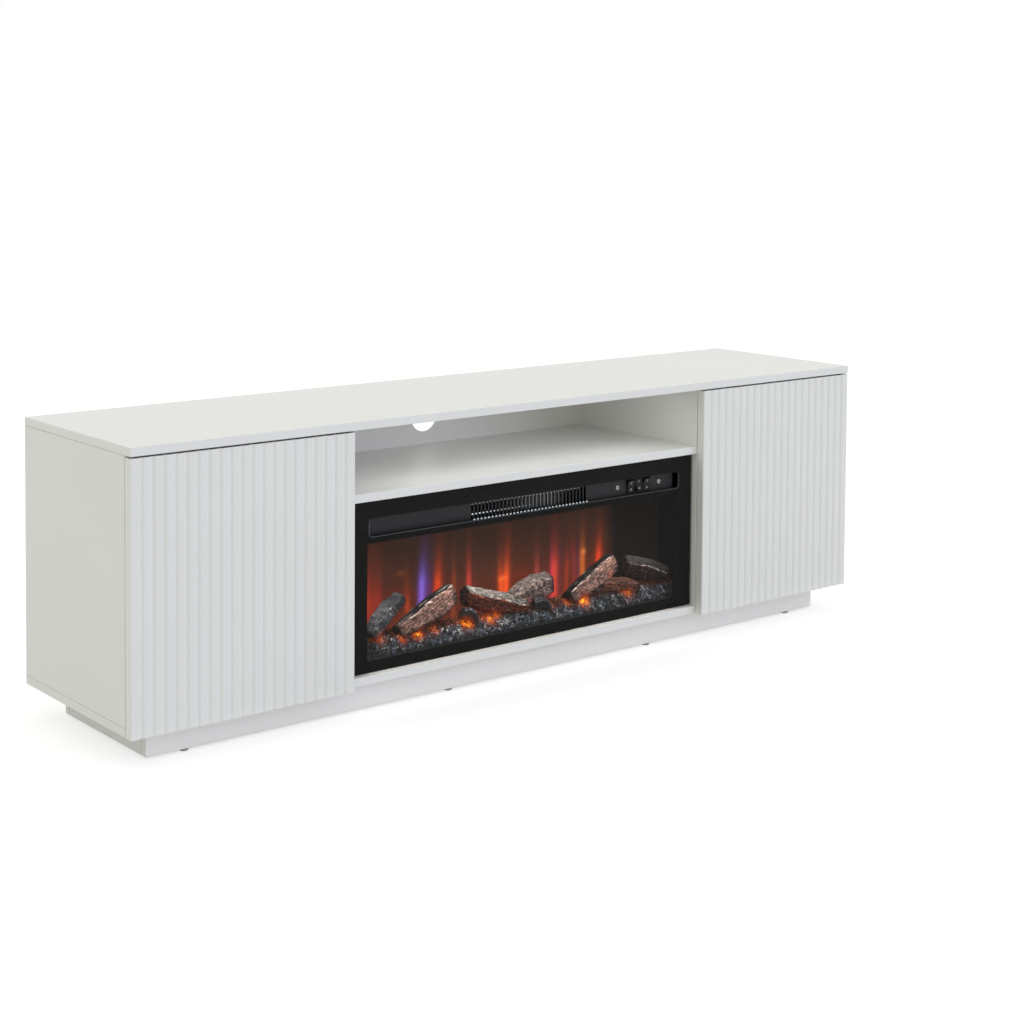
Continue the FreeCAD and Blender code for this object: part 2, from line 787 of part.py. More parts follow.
def blower_housing():
    # C-shaped shell round the wheel, open to the grille, between two end plates that stand on the deck
    length = 2 * blower_half
    start = Vector(-blower_half, wheel_y, wheel_z)
    outside = shell_radius + blower_wall
    shell = rod(outside, start, length, x_axis).cut(rod(shell_radius, start, length, x_axis))
    mouth = bar_at(0, length + 2 * overrun, wheel_y - 2 * outside, wheel_y - blower_mouth_share * outside,
                   wheel_z - 2 * outside, wheel_z + 2 * outside)
    shell = shell.cut(mouth)
    plates = []
    for sign in sides.values():
        plates.append(block(sign * blower_half, sign * (blower_half + blower_wall),
                            wheel_y - outside, wheel_y + outside, deck_top, wheel_z + outside))
    bore = rod(wheel_shaft_radius + bearing_fit, Vector(-blower_half - overrun, wheel_y, wheel_z),
               length + 2 * overrun, x_axis)
    return shell.fuse(plates).cut(bore)


def blower_motor():
    x0 = blower_half + blower_wall
    can = rod(blower_motor_radius, Vector(x0, wheel_y, wheel_z), blower_motor_length, x_axis)
    bore = rod(wheel_shaft_radius + bearing_fit, Vector(x0, wheel_y, wheel_z), motor_bore_depth, x_axis)
    return can.cut(bore)


# Flame screen, bed and logs

def flame_screen():
    return block(-inner_half, inner_half, screen_front, screen_back, casing_floor, deck_bottom)


def ember_bed():
    # Cross-sections along the bed whose crest rises and falls
    wires = []
    steps = len(bed_wave_shares) - 1
    for i, wave in enumerate(bed_wave_shares):
        x = -bed_half + 2 * bed_half * i / steps
        top = [Vector(x, bed_front + d * bed_depth, window_bottom + r * wave * bed_crest)
               for d, r in zip(bed_depth_shares, bed_rise_shares)]
        foot = [Vector(x, bed_back, casing_floor), Vector(x, bed_front, casing_floor)]
        wires.append(Part.makePolygon(top + foot + top[:1]))
    return Part.makeLoft(wires, True, True)


def bed_point(shares):
    along, inward, up = shares
    return Vector(along * bed_half, bed_front + inward * bed_depth, window_bottom + up * log_pile_height)


def log(ends):
    # Eight-sided trunk of parallel sections that swell, taper and bow upwards
    start = bed_point(ends[0])
    end = bed_point(ends[1])
    run = end - start
    along = Vector(run).normalize()
    across = along.cross(z_axis).normalize()
    up = across.cross(along)
    wires = []
    for station, taper, bow in zip(log_station_shares, log_taper_shares, log_bow_shares):
        centre = start + run * station + up * (bow * log_bend)
        radius = log_radius * ends[2] * taper
        ring = []
        for i, girth in enumerate(log_girth_shares):
            turn = 2 * math.pi * i / len(log_girth_shares)
            ring.append(centre + (across * math.cos(turn) + up * math.sin(turn)) * (radius * girth))
        wires.append(Part.makePolygon(ring + ring[:1]))
    return Part.makeLoft(wires, True, True)


def log_set():
    logs = []
    for ends in log_end_shares:
        trunk = log(ends)
        if logs:
            trunk = trunk.cut(logs)
        logs.append(max(trunk.Solids, key=lambda s: s.Volume))
    return logs


# Flicker rotor and light board

def flame_rotor():
    shaft_end = rotor_half_length + bracket_thickness
    parts = []
    pitch = 2 * rotor_half_length / rotor_flap_count
    for i in range(rotor_flap_count):
        x = -rotor_half_length + (i + 0.5) * pitch
        flap = bar_at(x, rotor_flap_length,
                      rotor_y - rotor_flap_thickness / 2, rotor_y + rotor_flap_thickness / 2,
                      rotor_z - rotor_flap_width / 2, rotor_z + rotor_flap_width / 2)
        flap.rotate(Vector(x, rotor_y, rotor_z), y_axis, rotor_flap_tilt)
        flap.rotate(Vector(x, rotor_y, rotor_z), x_axis, i * rotor_flap_step)
        parts.append(flap)
    start = Vector(-shaft_end, rotor_y, rotor_z)
    return rod(rotor_rod_radius, start, 2 * shaft_end + motor_bore_depth - bearing_fit, x_axis).fuse(parts)


def rotor_bracket(sign):
    post = block(sign * rotor_half_length, sign * (rotor_half_length + bracket_thickness),
                 rotor_y - bracket_half_width, rotor_y + bracket_half_width,
                 casing_floor, rotor_z + bracket_rise)
    bore = rod(rotor_rod_radius + bearing_fit, Vector(sign * rotor_half_length - overrun, rotor_y, rotor_z),
               2 * overrun, x_axis)
    return post.cut(bore)


def rotor_motor():
    x0 = rotor_half_length + bracket_thickness
    start = Vector(x0, rotor_y, rotor_z)
    can = rod(rotor_motor_radius, start, rotor_motor_length, x_axis)
    return can.cut(rod(rotor_rod_radius + bearing_fit, start, motor_bore_depth, x_axis))


def led_board():
    y0 = screen_back + led_board_setback
    top = casing_floor + led_board_thickness
    strip = block(-rotor_half_length, rotor_half_length, y0, y0 + led_board_width, casing_floor, top)
    pitch = 2 * rotor_half_length / led_count
    middle_y = y0 + led_board_width / 2
    lamps = []
    for i in range(led_count):
        x = -rotor_half_length + (i + 0.5) * pitch
        lamps.append(bar_at(x, led_size, middle_y - led_size / 2, middle_y + led_size / 2,
                            top, top + led_height))
    return strip.fuse(lamps)


def fireplace(nodes):
    nodes["front_glass"] = front_glass()
    nodes["front_plate"] = front_plate()
    nodes["casing"] = casing()
    nodes["cable_gland"] = cable_gland()
    nodes["casing_clips"] = [casing_clip(sign) for sign in sides.values()]
    nodes["deck"] = block(-inner_half, inner_half, plate_back, casing_back - sheet, deck_bottom, deck_top)
    nodes["control_fascia"] = control_fascia()
    nodes["fascia_screws"] = [fascia_screw(x) for x in screw_places]
    nodes["switch_housings"] = [switch_housing(x) for x in switch_places()]
    for name, x, tilt_sign in zip(switch_names, switch_places(), switch_tilt_signs):
        nodes[name] = rocker(x, tilt_sign)
    nodes["heater_core"] = heater_core()
    nodes["blower_wheel"] = blower_wheel()
    nodes["blower_housing"] = blower_housing()
    nodes["blower_motor"] = blower_motor()
    nodes["flame_screen"] = flame_screen()
    logs = log_set()
    nodes["logs"] = logs
    nodes["ember_bed"] = ember_bed().cut(logs)
    nodes["flame_rotor"] = flame_rotor()
    nodes["rotor_brackets"] = [rotor_bracket(sign) for sign in sides.values()]
    nodes["rotor_motor"] = rotor_motor()
    nodes["led_board"] = led_board()


def main():
    os.makedirs("parts", exist_ok=True)
    nodes = {}
    carcass(nodes)
    plinth(nodes)
    doors(nodes)
    fireplace(nodes)
    for name, solid in nodes.items():
        shape = Part.makeCompound(solid) if isinstance(solid, list) else solid
        shape.exportStep("parts/" + name + ".step")
        print(name, len(shape.Solids), round(shape.Volume), shape.isValid())
    print(len(nodes), "nodes")


main()
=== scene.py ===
import json

import bmesh
import bpy
import numpy as np
from mathutils import Matrix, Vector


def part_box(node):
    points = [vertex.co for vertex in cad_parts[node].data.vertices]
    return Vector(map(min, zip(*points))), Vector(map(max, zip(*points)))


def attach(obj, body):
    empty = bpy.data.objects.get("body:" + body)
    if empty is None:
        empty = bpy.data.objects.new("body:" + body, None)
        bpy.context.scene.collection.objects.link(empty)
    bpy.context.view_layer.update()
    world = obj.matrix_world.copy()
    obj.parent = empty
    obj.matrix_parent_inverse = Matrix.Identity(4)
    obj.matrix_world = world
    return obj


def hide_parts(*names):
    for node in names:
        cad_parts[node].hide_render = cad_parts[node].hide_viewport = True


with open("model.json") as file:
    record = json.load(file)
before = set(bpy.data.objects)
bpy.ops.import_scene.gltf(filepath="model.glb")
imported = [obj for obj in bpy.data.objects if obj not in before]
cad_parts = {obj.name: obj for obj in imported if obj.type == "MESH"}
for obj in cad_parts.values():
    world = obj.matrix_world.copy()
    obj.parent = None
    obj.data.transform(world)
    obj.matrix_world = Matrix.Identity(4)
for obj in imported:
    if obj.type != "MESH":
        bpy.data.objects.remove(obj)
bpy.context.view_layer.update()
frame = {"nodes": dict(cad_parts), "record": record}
nodes = frame["nodes"]
scene = bpy.context.scene
scene.view_settings.view_transform = "Standard"
mm = 0.001
print("frame loaded:", len(nodes), "nodes")


# Small helpers
def linear(hexText):
    # sRGB hex to linear light
    c = np.array([int(hexText[i:i + 2], 16) for i in (0, 2, 4)]) / 255
    c = np.where(c <= 0.04045, c / 12.92, ((c + 0.055) / 1.055) ** 2.4)
    return (*[float(x) for x in c], 1.0)


def rgb(hexText):
    return np.array(linear(hexText)[:3])


def addNode(tree, kind, inputs=None, **settings):
    # one node with its settings; a socket given as an input is linked, anything else is its value
    node = tree.nodes.new(kind)
    for key, value in settings.items():
        setattr(node, key, value)
    for key, value in (inputs or {}).items():
        if isinstance(value, bpy.types.NodeSocket):
            tree.links.new(value, node.inputs[key])
        else:
            node.inputs[key].default_value = value
    return node


def newMaterial(name):
    mat = bpy.data.materials.new(name)
    mat.use_nodes = True
    mat.node_tree.nodes.clear()
    return mat, mat.node_tree


def perMm(size):
    # noise scale whose features are this many millimetres across
    return 1000 / size


def smoothStep(low, high, x):
    t = np.clip((x - low) / (high - low), 0, 1)
    return t * t * (3 - 2 * t)


def ripples(u, v, seed, count, alongMax, roundMax):
    # sum of cosine waves over two parameters, whole turns in v so that a closed ring meets itself
    rng = np.random.default_rng(seed)
    total = np.zeros(np.broadcast(u, v).shape)
    for a, b, phase, size in zip(rng.uniform(1, alongMax, count), rng.integers(0, roundMax, count),
                                 rng.uniform(0, 2 * np.pi, count), rng.uniform(0.4, 1, count)):
        total += size * np.cos(2 * np.pi * (a * u + b * v) + phase)
    return total / np.sqrt(count)


def buildMesh(name, verts, faces, material, uv=None, colours=None, smooth=True, weld=0.0,
              body="cabinet"):
    # verts (n, 3) in metres, faces (m, k); uv per vertex; colours is a dict of (n, 3) arrays
    mesh = bpy.data.meshes.new(name)
    mesh.from_pydata(verts.tolist(), [], faces.tolist())
    if uv is not None:
        loops = np.zeros(len(mesh.loops), np.int32)
        mesh.loops.foreach_get("vertex_index", loops)
        mesh.uv_layers.new(name="UVMap").data.foreach_set("uv", uv[loops].astype(np.float32).ravel())
    for key, values in (colours or {}).items():
        rgba = np.concatenate([values, np.ones((len(values), 1))], 1).astype(np.float32)
        mesh.color_attributes.new(key, "FLOAT_COLOR", "POINT").data.foreach_set("color", rgba.ravel())
    if weld:
        bm = bmesh.new()
        bm.from_mesh(mesh)
        bmesh.ops.remove_doubles(bm, verts=bm.verts, dist=weld)
        bmesh.ops.recalc_face_normals(bm, faces=bm.faces)
        bm.to_mesh(mesh)
        bm.free()
    mesh.polygons.foreach_set("use_smooth", np.full(len(mesh.polygons), smooth))
    mesh.materials.append(material)
    obj = bpy.data.objects.new(name, mesh)
    scene.collection.objects.link(obj)
    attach(obj, body)
    return obj


def gridFaces(rows, columns):
    i = np.arange(rows - 1)[:, None] * columns
    j = np.arange(columns - 1)[None, :]
    a = i + j
    return np.stack([a, a + columns, a + columns + 1, a + 1], -1).reshape(-1, 4)


def blockRow(name, middle, half, material):
    # one eight-cornered block per row of middle and half size (mm)
    corner = np.array([(x, y, z) for z in (-1, 1) for x, y in ((-1, -1), (1, -1), (1, 1), (-1, 1))])
    sides = np.array([(0, 3, 2, 1), (4, 5, 6, 7), (0, 1, 5, 4), (1, 2, 6, 5), (2, 3, 7, 6), (3, 0, 4, 7)])
    points = middle[:, None, :] + corner[None] * half[:, None, :]
    faces = (sides[None] + len(corner) * np.arange(len(points))[:, None, None]).reshape(-1, 4)
    buildMesh(name, points.reshape(-1, 3) * mm, faces, material, smooth=False)


# Finishes
# Satin lacquer sprayed on fibreboard: soft broad sheen, a faint orange peel, no grain
lacquerLook = {"white": "F0EFEC", "shade": "EAE9E5", "roughness": 0.4, "driftMm": 260, "peelMm": 9,
               "peelDepth": 0.05, "peelReachMm": 0.4}


def satinLacquer():
    look = lacquerLook
    mat, tree = newMaterial("satin_lacquer_on_fibreboard")
    where = addNode(tree, "ShaderNodeTexCoord").outputs["Object"]
    drift = addNode(tree, "ShaderNodeTexNoise",
                    {"Vector": where, "Scale": perMm(look["driftMm"]), "Detail": 3.0})
    tone = addNode(tree, "ShaderNodeMixRGB", {"Fac": drift.outputs["Fac"], "Color1": linear(look["white"]),
                                              "Color2": linear(look["shade"])})
    # the real peel is about 1 mm; drawn coarser so that it shows
    peel = addNode(tree, "ShaderNodeTexNoise",
                   {"Vector": where, "Scale": perMm(look["peelMm"]), "Detail": 2.0})
    bump = addNode(tree, "ShaderNodeBump", {"Height": peel.outputs["Fac"], "Strength": look["peelDepth"],
                                            "Distance": look["peelReachMm"] * mm})
    shader = addNode(tree, "ShaderNodeBsdfPrincipled", {"Base Color": tone.outputs["Color"],
                                                        "Roughness": look["roughness"],
                                                        "Normal": bump.outputs["Normal"]})
    addNode(tree, "ShaderNodeOutputMaterial", {"Surface": shader.outputs["BSDF"]})
    return mat


# part of the noise that turns into tone, share of the darker tone, reach of the bump
toothLook = {"band": (0.3, 0.7), "mix": 0.5, "reachMm": 0.2}


# Plain solids: one finish with a fine tooth in tone and height
def toothed(name, base, dark, roughness, metallic=0.0, toothMm=1.5, depth=0.15, specular=0.5, glow=0.0):
    low, high = toothLook["band"]
    mat, tree = newMaterial(name)
    where = addNode(tree, "ShaderNodeTexCoord").outputs["Object"]
    tooth = addNode(tree, "ShaderNodeTexNoise", {"Vector": where, "Scale": perMm(toothMm), "Detail": 4.0})
    spread = addNode(tree, "ShaderNodeMapRange",
                     {"Value": tooth.outputs["Fac"], "From Min": low, "From Max": high,
                      "To Max": toothLook["mix"]})
    tone = addNode(tree, "ShaderNodeMixRGB", {"Fac": spread.outputs["Result"], "Color1": linear(base),
                                              "Color2": linear(dark)})
    bump = addNode(tree, "ShaderNodeBump", {"Height": tooth.outputs["Fac"], "Strength": depth,
                                            "Distance": toothLook["reachMm"] * mm})
    shader = addNode(tree, "ShaderNodeBsdfPrincipled",
                     {"Base Color": tone.outputs["Color"], "Roughness": roughness,
                      "Metallic": metallic, "Specular IOR Level": specular,
                      "Emission Color": linear(base), "Emission Strength": glow,
                      "Normal": bump.outputs["Normal"]})
    addNode(tree, "ShaderNodeOutputMaterial", {"Surface": shader.outputs["BSDF"]})
    return mat


# Smoked float glass: nearly black, clear enough to see the fire, under the even grey of a pale room.
# The room is one tone, so its one per cent mirror image is a weak glow: a real mirror so faint stays grainy.
glassLook = {"tint": ("060606", "0B0A09"), "cloudMm": 180, "cover": 0.22, "roughness": 0.3,
             "veil": ("FFFFFA", 0.026)}


def smokedGlass():
    look = glassLook
    mat, tree = newMaterial("smoked_float_glass")
    where = addNode(tree, "ShaderNodeTexCoord").outputs["Object"]
    cloud = addNode(tree, "ShaderNodeTexNoise",
                    {"Vector": where, "Scale": perMm(look["cloudMm"]), "Detail": 2.0})
    tone = addNode(tree, "ShaderNodeMixRGB", {"Fac": cloud.outputs["Fac"], "Color1": linear(look["tint"][0]),
                                              "Color2": linear(look["tint"][1])})
    shader = addNode(tree, "ShaderNodeBsdfPrincipled",
                     {"Base Color": tone.outputs["Color"], "Alpha": look["cover"],
                      "Roughness": look["roughness"], "Specular IOR Level": 0.0,
                      "Emission Color": linear(look["veil"][0]), "Emission Strength": look["veil"][1]})
    addNode(tree, "ShaderNodeOutputMaterial", {"Surface": shader.outputs["BSDF"]})
    return mat


# parts of the noises that turn into tone, tones between and on the fibres, reach of the bump
paintLook = {"fleckBand": (0.56, 0.66), "fibreBand": (0.36, 0.62), "fibreTones": (0.3, 1.5), "reachMm": 1.5}


# Cast resin under paint: the piece's own colours, a speckle, flecks, wood fibres on a log, and its own glow
def painted(name, roughness, speckleMm, speckleDepth, speckleBand, bumpDepth, fleckMm, fleckGain,
            fibres=None):
    look = paintLook
    mat, tree = newMaterial(name)
    where = addNode(tree, "ShaderNodeTexCoord").outputs["Object"]
    coat = addNode(tree, "ShaderNodeVertexColor", layer_name="coat")
    glow = addNode(tree, "ShaderNodeVertexColor", layer_name="glow")
    speck = addNode(tree, "ShaderNodeTexNoise", {"Vector": where, "Scale": perMm(speckleMm), "Detail": 6.0,
                                                 "Roughness": 0.7})
    level = addNode(tree, "ShaderNodeMapRange",
                    {"Value": speck.outputs["Fac"],
                     "From Min": 0.5 - speckleBand, "From Max": 0.5 + speckleBand,
                     "To Min": 1 - speckleDepth, "To Max": 1 + speckleDepth})
    tone = addNode(tree, "ShaderNodeMixRGB", {"Fac": 1.0, "Color1": coat.outputs["Color"],
                                              "Color2": level.outputs["Result"]}, blend_type="MULTIPLY")
    fleck = addNode(tree, "ShaderNodeTexNoise", {"Vector": where, "Scale": perMm(fleckMm), "Detail": 2.0})
    spots = addNode(tree, "ShaderNodeMapRange",
                    {"Value": fleck.outputs["Fac"],
                     "From Min": look["fleckBand"][0], "From Max": look["fleckBand"][1],
                     "To Min": 1.0, "To Max": fleckGain})
    tone = addNode(tree, "ShaderNodeMixRGB", {"Fac": 1.0, "Color1": tone.outputs["Color"],
                                              "Color2": spots.outputs["Result"]}, blend_type="MULTIPLY")
    if fibres:
        # how many along the piece and round it, on its own UV map
        unrolled = addNode(tree, "ShaderNodeTexCoord").outputs["UV"]
        laid = addNode(tree, "ShaderNodeMapping", {"Vector": unrolled, "Scale": (*fibres, 1.0)})
        fibre = addNode(tree, "ShaderNodeTexNoise",
                        {"Vector": laid.outputs["Vector"], "Scale": 1.0, "Detail": 3.0})
        strand = addNode(tree, "ShaderNodeMapRange",
                         {"Value": fibre.outputs["Fac"],
                          "From Min": look["fibreBand"][0], "From Max": look["fibreBand"][1],
                          "To Min": look["fibreTones"][0], "To Max": look["fibreTones"][1]})
        tone = addNode(tree, "ShaderNodeMixRGB", {"Fac": 1.0, "Color1": tone.outputs["Color"],
                                                  "Color2": strand.outputs["Result"]}, blend_type="MULTIPLY")
    bump = addNode(tree, "ShaderNodeBump", {"Height": speck.outputs["Fac"], "Strength": bumpDepth,
                                            "Distance": look["reachMm"] * mm})
    shader = addNode(tree, "ShaderNodeBsdfPrincipled",
                     {"Base Color": tone.outputs["Color"], "Roughness": roughness,
                      "Emission Color": glow.outputs["Color"], "Emission Strength": 1.0,
                      "Normal": bump.outputs["Normal"]})
    addNode(tree, "ShaderNodeOutputMaterial", {"Surface": shader.outputs["BSDF"]})
    return mat


finishes = {
    "lacquered_board": satinLacquer(),
    "back_board": toothed("painted_hardboard", "E6E5E1", "DEDDD8", roughness=0.55, toothMm=3, depth=0.05),
    "zinc": toothed("nickel_plated_zinc", "BEBBB5", "A9A6A0", roughness=0.28, metallic=1.0, toothMm=6,
                    depth=0.03),
    "steel": toothed("zinc_plated_steel", "B2B4B6", "9A9C9E", roughness=0.35, metallic=1.0, toothMm=4,
                     depth=0.05),
    "white_plastic": toothed("moulded_white_abs", "DCDCD8", "D2D2CE", roughness=0.45, toothMm=2, depth=0.05),
    "black_plastic": toothed("moulded_black_abs", "0B0B0B", "141414", roughness=0.5, toothMm=1.5, depth=0.1,
                             specular=0.15),
    "rocker_plastic": toothed("polished_black_abs", "060606", "0A0A0A", roughness=0.12, toothMm=8,
                              depth=0.01, specular=0.2),
    "smoked_glass": smokedGlass(),
    "black_sheet": toothed("black_powder_coat", "0C0C0C", "141414", roughness=0.6, toothMm=1.2, depth=0.2),
    "aluminium": toothed("mill_aluminium", "A8AAAC", "8E9092", roughness=0.4, metallic=1.0, toothMm=5,
                         depth=0.05),
    "motor_paint": toothed("motor_enamel", "2A2B2D", "1E1F21", roughness=0.4, toothMm=3, depth=0.05),
    "acrylic": toothed("frosted_acrylic", "241A17", "1A1412", roughness=0.5, toothMm=3, depth=0.05),
    "ember_resin": painted("cast_cinder_resin", roughness=0.3, speckleMm=2.2, speckleDepth=0.5,
                           speckleBand=0.2, bumpDepth=0.6, fleckMm=2.4, fleckGain=1.6),
    "log_resin": painted("painted_log_resin", roughness=0.75, speckleMm=4.2, speckleDepth=0.55,
                         speckleBand=0.1, bumpDepth=1.0, fleckMm=5.0, fleckGain=1.7, fibres=(10, 38)),
    "foil": toothed("polished_foil", "D2D2D0", "BCBCBA", roughness=0.12, metallic=1.0, toothMm=20,
                    depth=0.05),
    "circuit_board": toothed("white_solder_mask", "D8D8D2", "CBCBC6", roughness=0.4, toothMm=3, depth=0.03),
}
fasciaGrey = toothed("satin_grey_fascia", "202023", "1B1B1E", roughness=0.45, toothMm=1.2, depth=0.12,
                     specular=0.25)
platePrint = toothed("black_ceramic_print", "0D0D0C", "101010", roughness=0.5, toothMm=6, depth=0.0,
                     specular=0.1)
nylonGrey = toothed("grey_nylon", "9C9C96", "8E8E88", roughness=0.5, toothMm=2, depth=0.1)
ownLook = {"control_fascia": fasciaGrey, "front_plate": platePrint, "glides": nylonGrey}
slotOf = {s["node"]: s["material_slot"] for s in frame["record"]["subparts"]}
for name, obj in nodes.items():
    obj.data.materials.clear()
    obj.data.materials.append(ownLook.get(name, finishes[slotOf[name]]))
print("finishes set on", len(nodes), "nodes")


# Flame picture on the screen
# Colour at a point = brown smoke that darkens upwards + a red glow that dies away upwards + for each flame
# a bell across its leaning line, full up to its hold height and dying away above it + small bright sparks.
flameLook = {
    "columns": 400, "rows": 118, "strength": 1.0, "body": "050404", "baseMm": 200,
    "smoke": "472D1F", "smokeRight": "191614", "fadeMm": (262, 310), "driftMm": (800, 260),
    "driftShare": 0.1, "thinFrom": 1.05, "thinPerMm": 0.0045, "thinRange": (0.5, 1.3),
    "glow": "FF2A00", "glowPower": 0.09, "glowHoldMm": 180, "glowFallMm": 32, "glowRipple": 0.35,
    "swayMm": 0.8, "swayTurnMm": 31, "widenPerMm": 0.003,
    # x at z 200, lean, half width, hold height, fall (mm), colour, strength
    "flames": [(-336, 0.12, 9, 168, 34, "FF3800", 0.95), (-318, 0.12, 9, 190, 34, "FF3A18", 0.25),
               (-306, 0.05, 7, 180, 32, "FF2A2A", 0.24), (-240, -0.02, 6, 160, 28, "FF5A08", 0.38),
               (-203, 0.05, 8, 200, 24, "8A70FF", 0.95), (-188, 0.02, 9, 195, 30, "7A48D0", 0.28),
               (-165, 0.02, 8.5, 196, 25, "FF4708", 0.9), (-160, 0.02, 14, 190, 40, "B03020", 0.18),
               (-126, 0.0, 5.5, 195, 28, "FF7028", 0.2), (-88, 0.01, 6, 190, 27, "FF4A3C", 0.72),
               (-70, 0.0, 8, 185, 30, "8A2040", 0.12), (-6.5, -0.03, 6.5, 172, 23, "FF5612", 1.1),
               (9.5, 0.02, 7.5, 180, 27, "FF5410", 1.25), (11, 0.02, 14, 180, 40, "B03818", 0.15),
               (50, 0.0, 10, 175, 30, "802818", 0.1), (89, 0.02, 7, 178, 26, "FF6858", 0.42),
               (110, 0.0, 9, 170, 30, "A02040", 0.14), (130, 0.02, 5, 190, 30, "E02068", 0.42),
               (138, 0.02, 8.5, 182, 25, "FF4A30", 0.8), (150, 0.0, 12, 190, 40, "702060", 0.18),
               (171, 0.02, 6, 178, 24, "FF4A10", 0.3), (188, -0.04, 7, 205, 30, "F03A44", 0.2),
               (202, 0.0, 8, 190, 32, "6A2A90", 0.14), (214, 0.01, 7, 192, 25, "FF8424", 0.7),
               (238, 0.0, 9, 180, 30, "902418", 0.15), (259, 0.04, 8, 190, 22, "FF4410", 0.95),
               (262, 0.02, 14, 195, 42, "902818", 0.2)],
    # x, z, half length, half height, colour, strength
    "sparks": [(-255, 224, 9, 5, "FF8A30", 0.14), (216, 202, 6, 5, "FFA040", 0.6),
               (-2, 177, 9, 4, "FF9030", 0.5)],
}


def flamePicture():
    look = flameLook
    low, high = (np.array(c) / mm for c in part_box("flame_screen"))
    x = np.linspace(low[0], high[0], look["columns"])[None, :]
    z = np.linspace(low[2], high[2], look["rows"])[:, None]
    dim = smoothStep(*look["fadeMm"], x)[..., None]
    colour = rgb(look["smoke"]) * (1 - dim) + rgb(look["smokeRight"]) * dim
    wide, tall = look["driftMm"]
    drift = 1 + look["driftShare"] * ripples(x / wide, z / tall, seed=5, count=9, alongMax=5, roundMax=4)
    thin = np.clip(look["thinFrom"] - look["thinPerMm"] * (z - look["baseMm"]), *look["thinRange"])
    colour = colour * (drift * thin)[..., None]
    fading = np.exp(-np.maximum(z - look["glowHoldMm"], 0) / look["glowFallMm"])
    uneven = 1 + look["glowRipple"] * ripples(x / wide, 0 * z, seed=15, count=8, alongMax=14, roundMax=1)
    lowGlow = look["glowPower"] * fading * uneven * (1 - dim[..., 0])
    colour = colour + lowGlow[..., None] * rgb(look["glow"])
    for i, (middle, lean, half, hold, fall, hue, power) in enumerate(look["flames"]):
        above = np.maximum(z - hold, 0)
        line = middle + lean * (z - look["baseMm"]) + look["swayMm"] * np.sin(z / look["swayTurnMm"] + i)
        bell = np.exp(-((x - line) / (half * (1 + look["widenPerMm"] * above))) ** 2)
        colour = colour + (power * bell * np.exp(-above / fall))[..., None] * rgb(hue)
    for middle, height, wide, tall, hue, power in look["sparks"]:
        spot = np.exp(-((x - middle) / wide) ** 2 - ((z - height) / tall) ** 2)
        colour = colour + (power * spot)[..., None] * rgb(hue)
    y = np.full((look["rows"], look["columns"]), low[1])
    front = np.stack([np.broadcast_to(x, y.shape), y, np.broadcast_to(z, y.shape)], -1).reshape(-1, 3) * mm
    tint = colour.reshape(-1, 3)
    mat, tree = newMaterial("frosted_acrylic_lit_from_behind")
    glow = addNode(tree, "ShaderNodeVertexColor", layer_name="glow")
    shader = addNode(tree, "ShaderNodeBsdfPrincipled", {"Base Color": linear(look["body"]), "Roughness": 0.6,
                                                        "Specular IOR Level": 0.1,
                                                        "Emission Color": glow.outputs["Color"],
                                                        "Emission Strength": look["strength"]})
    addNode(tree, "ShaderNodeOutputMaterial", {"Surface": shader.outputs["BSDF"]})
    obj = buildMesh("flame_picture", front, gridFaces(look["rows"], look["columns"])[:, ::-1], mat,
                    colours={"glow": tint})
    thick = obj.modifiers.new("thickness", "SOLIDIFY")
    thick.thickness = (high[1] - low[1]) * mm
    thick.offset = -1
    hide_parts("flame_screen")


flamePicture()
print("flame picture made")


# Logs and bed
bedLow, bedHigh = (np.array(c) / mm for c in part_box("ember_bed"))
bedLook = {
    "depthShares": (0.0, 0.22, 0.55, 0.85, 1.0), "riseShares": (0.0, 0.62, 1.0, 0.7, 0.45),
    "waveShares": (0.85, 0.95, 0.9, 0.8, 0.95, 0.85, 1.0, 0.9, 0.85), "lipMm": 95, "crestMm": 36,
    "rows": 60, "columns": 420, "sinkMm": 1.5, "rippleMm": 1.1, "rippleRunMm": (90, 77),
    "tone": "1B1D20", "glow": "FF4A08", "glowPower": 0.8,
}


def bedHeight(x, y):
    # lip height + crest x rise across the depth x wave along the length
    look = bedLook
    depth = (y - bedLow[1]) / (bedHigh[1] - bedLow[1])
    along = (x - bedLow[0]) / (bedHigh[0] - bedLow[0])
    rise = np.interp(depth, look["depthShares"], look["riseShares"])
    wave = np.interp(along, np.linspace(0, 1, len(look["waveShares"])), look["waveShares"])
    return look["lipMm"] + look["crestMm"] * rise * wave


# glowing spots: x, y, z, reach (mm), strength
emberSpots = np.array([
    (-344, -136, 126, 12, 0.8), (-296, -140, 114, 9, 1.0), (-258, -140, 119, 11, 1.4),
    (-218, -138, 120, 11, 0.7), (-138, -138, 119, 12, 1.5), (-80, -136, 118, 13, 1.1),
    (-58, -132, 122, 10, 0.7), (18, -136, 134, 10, 1.0), (80, -136, 128, 11, 1.2),
    (122, -138, 120, 9, 0.8), (162, -138, 120, 14, 1.7), (284, -136, 116, 14, 1.0),
    (252, -126, 158, 9, 0.8)])


def emberHeat(points):
    # sum of bells round the glowing spots
    gap = np.linalg.norm(points[:, None, :] - emberSpots[None, :, :3], axis=2)
    return (emberSpots[:, 4] * np.exp(-(gap / emberSpots[:, 3]) ** 2)).sum(1)


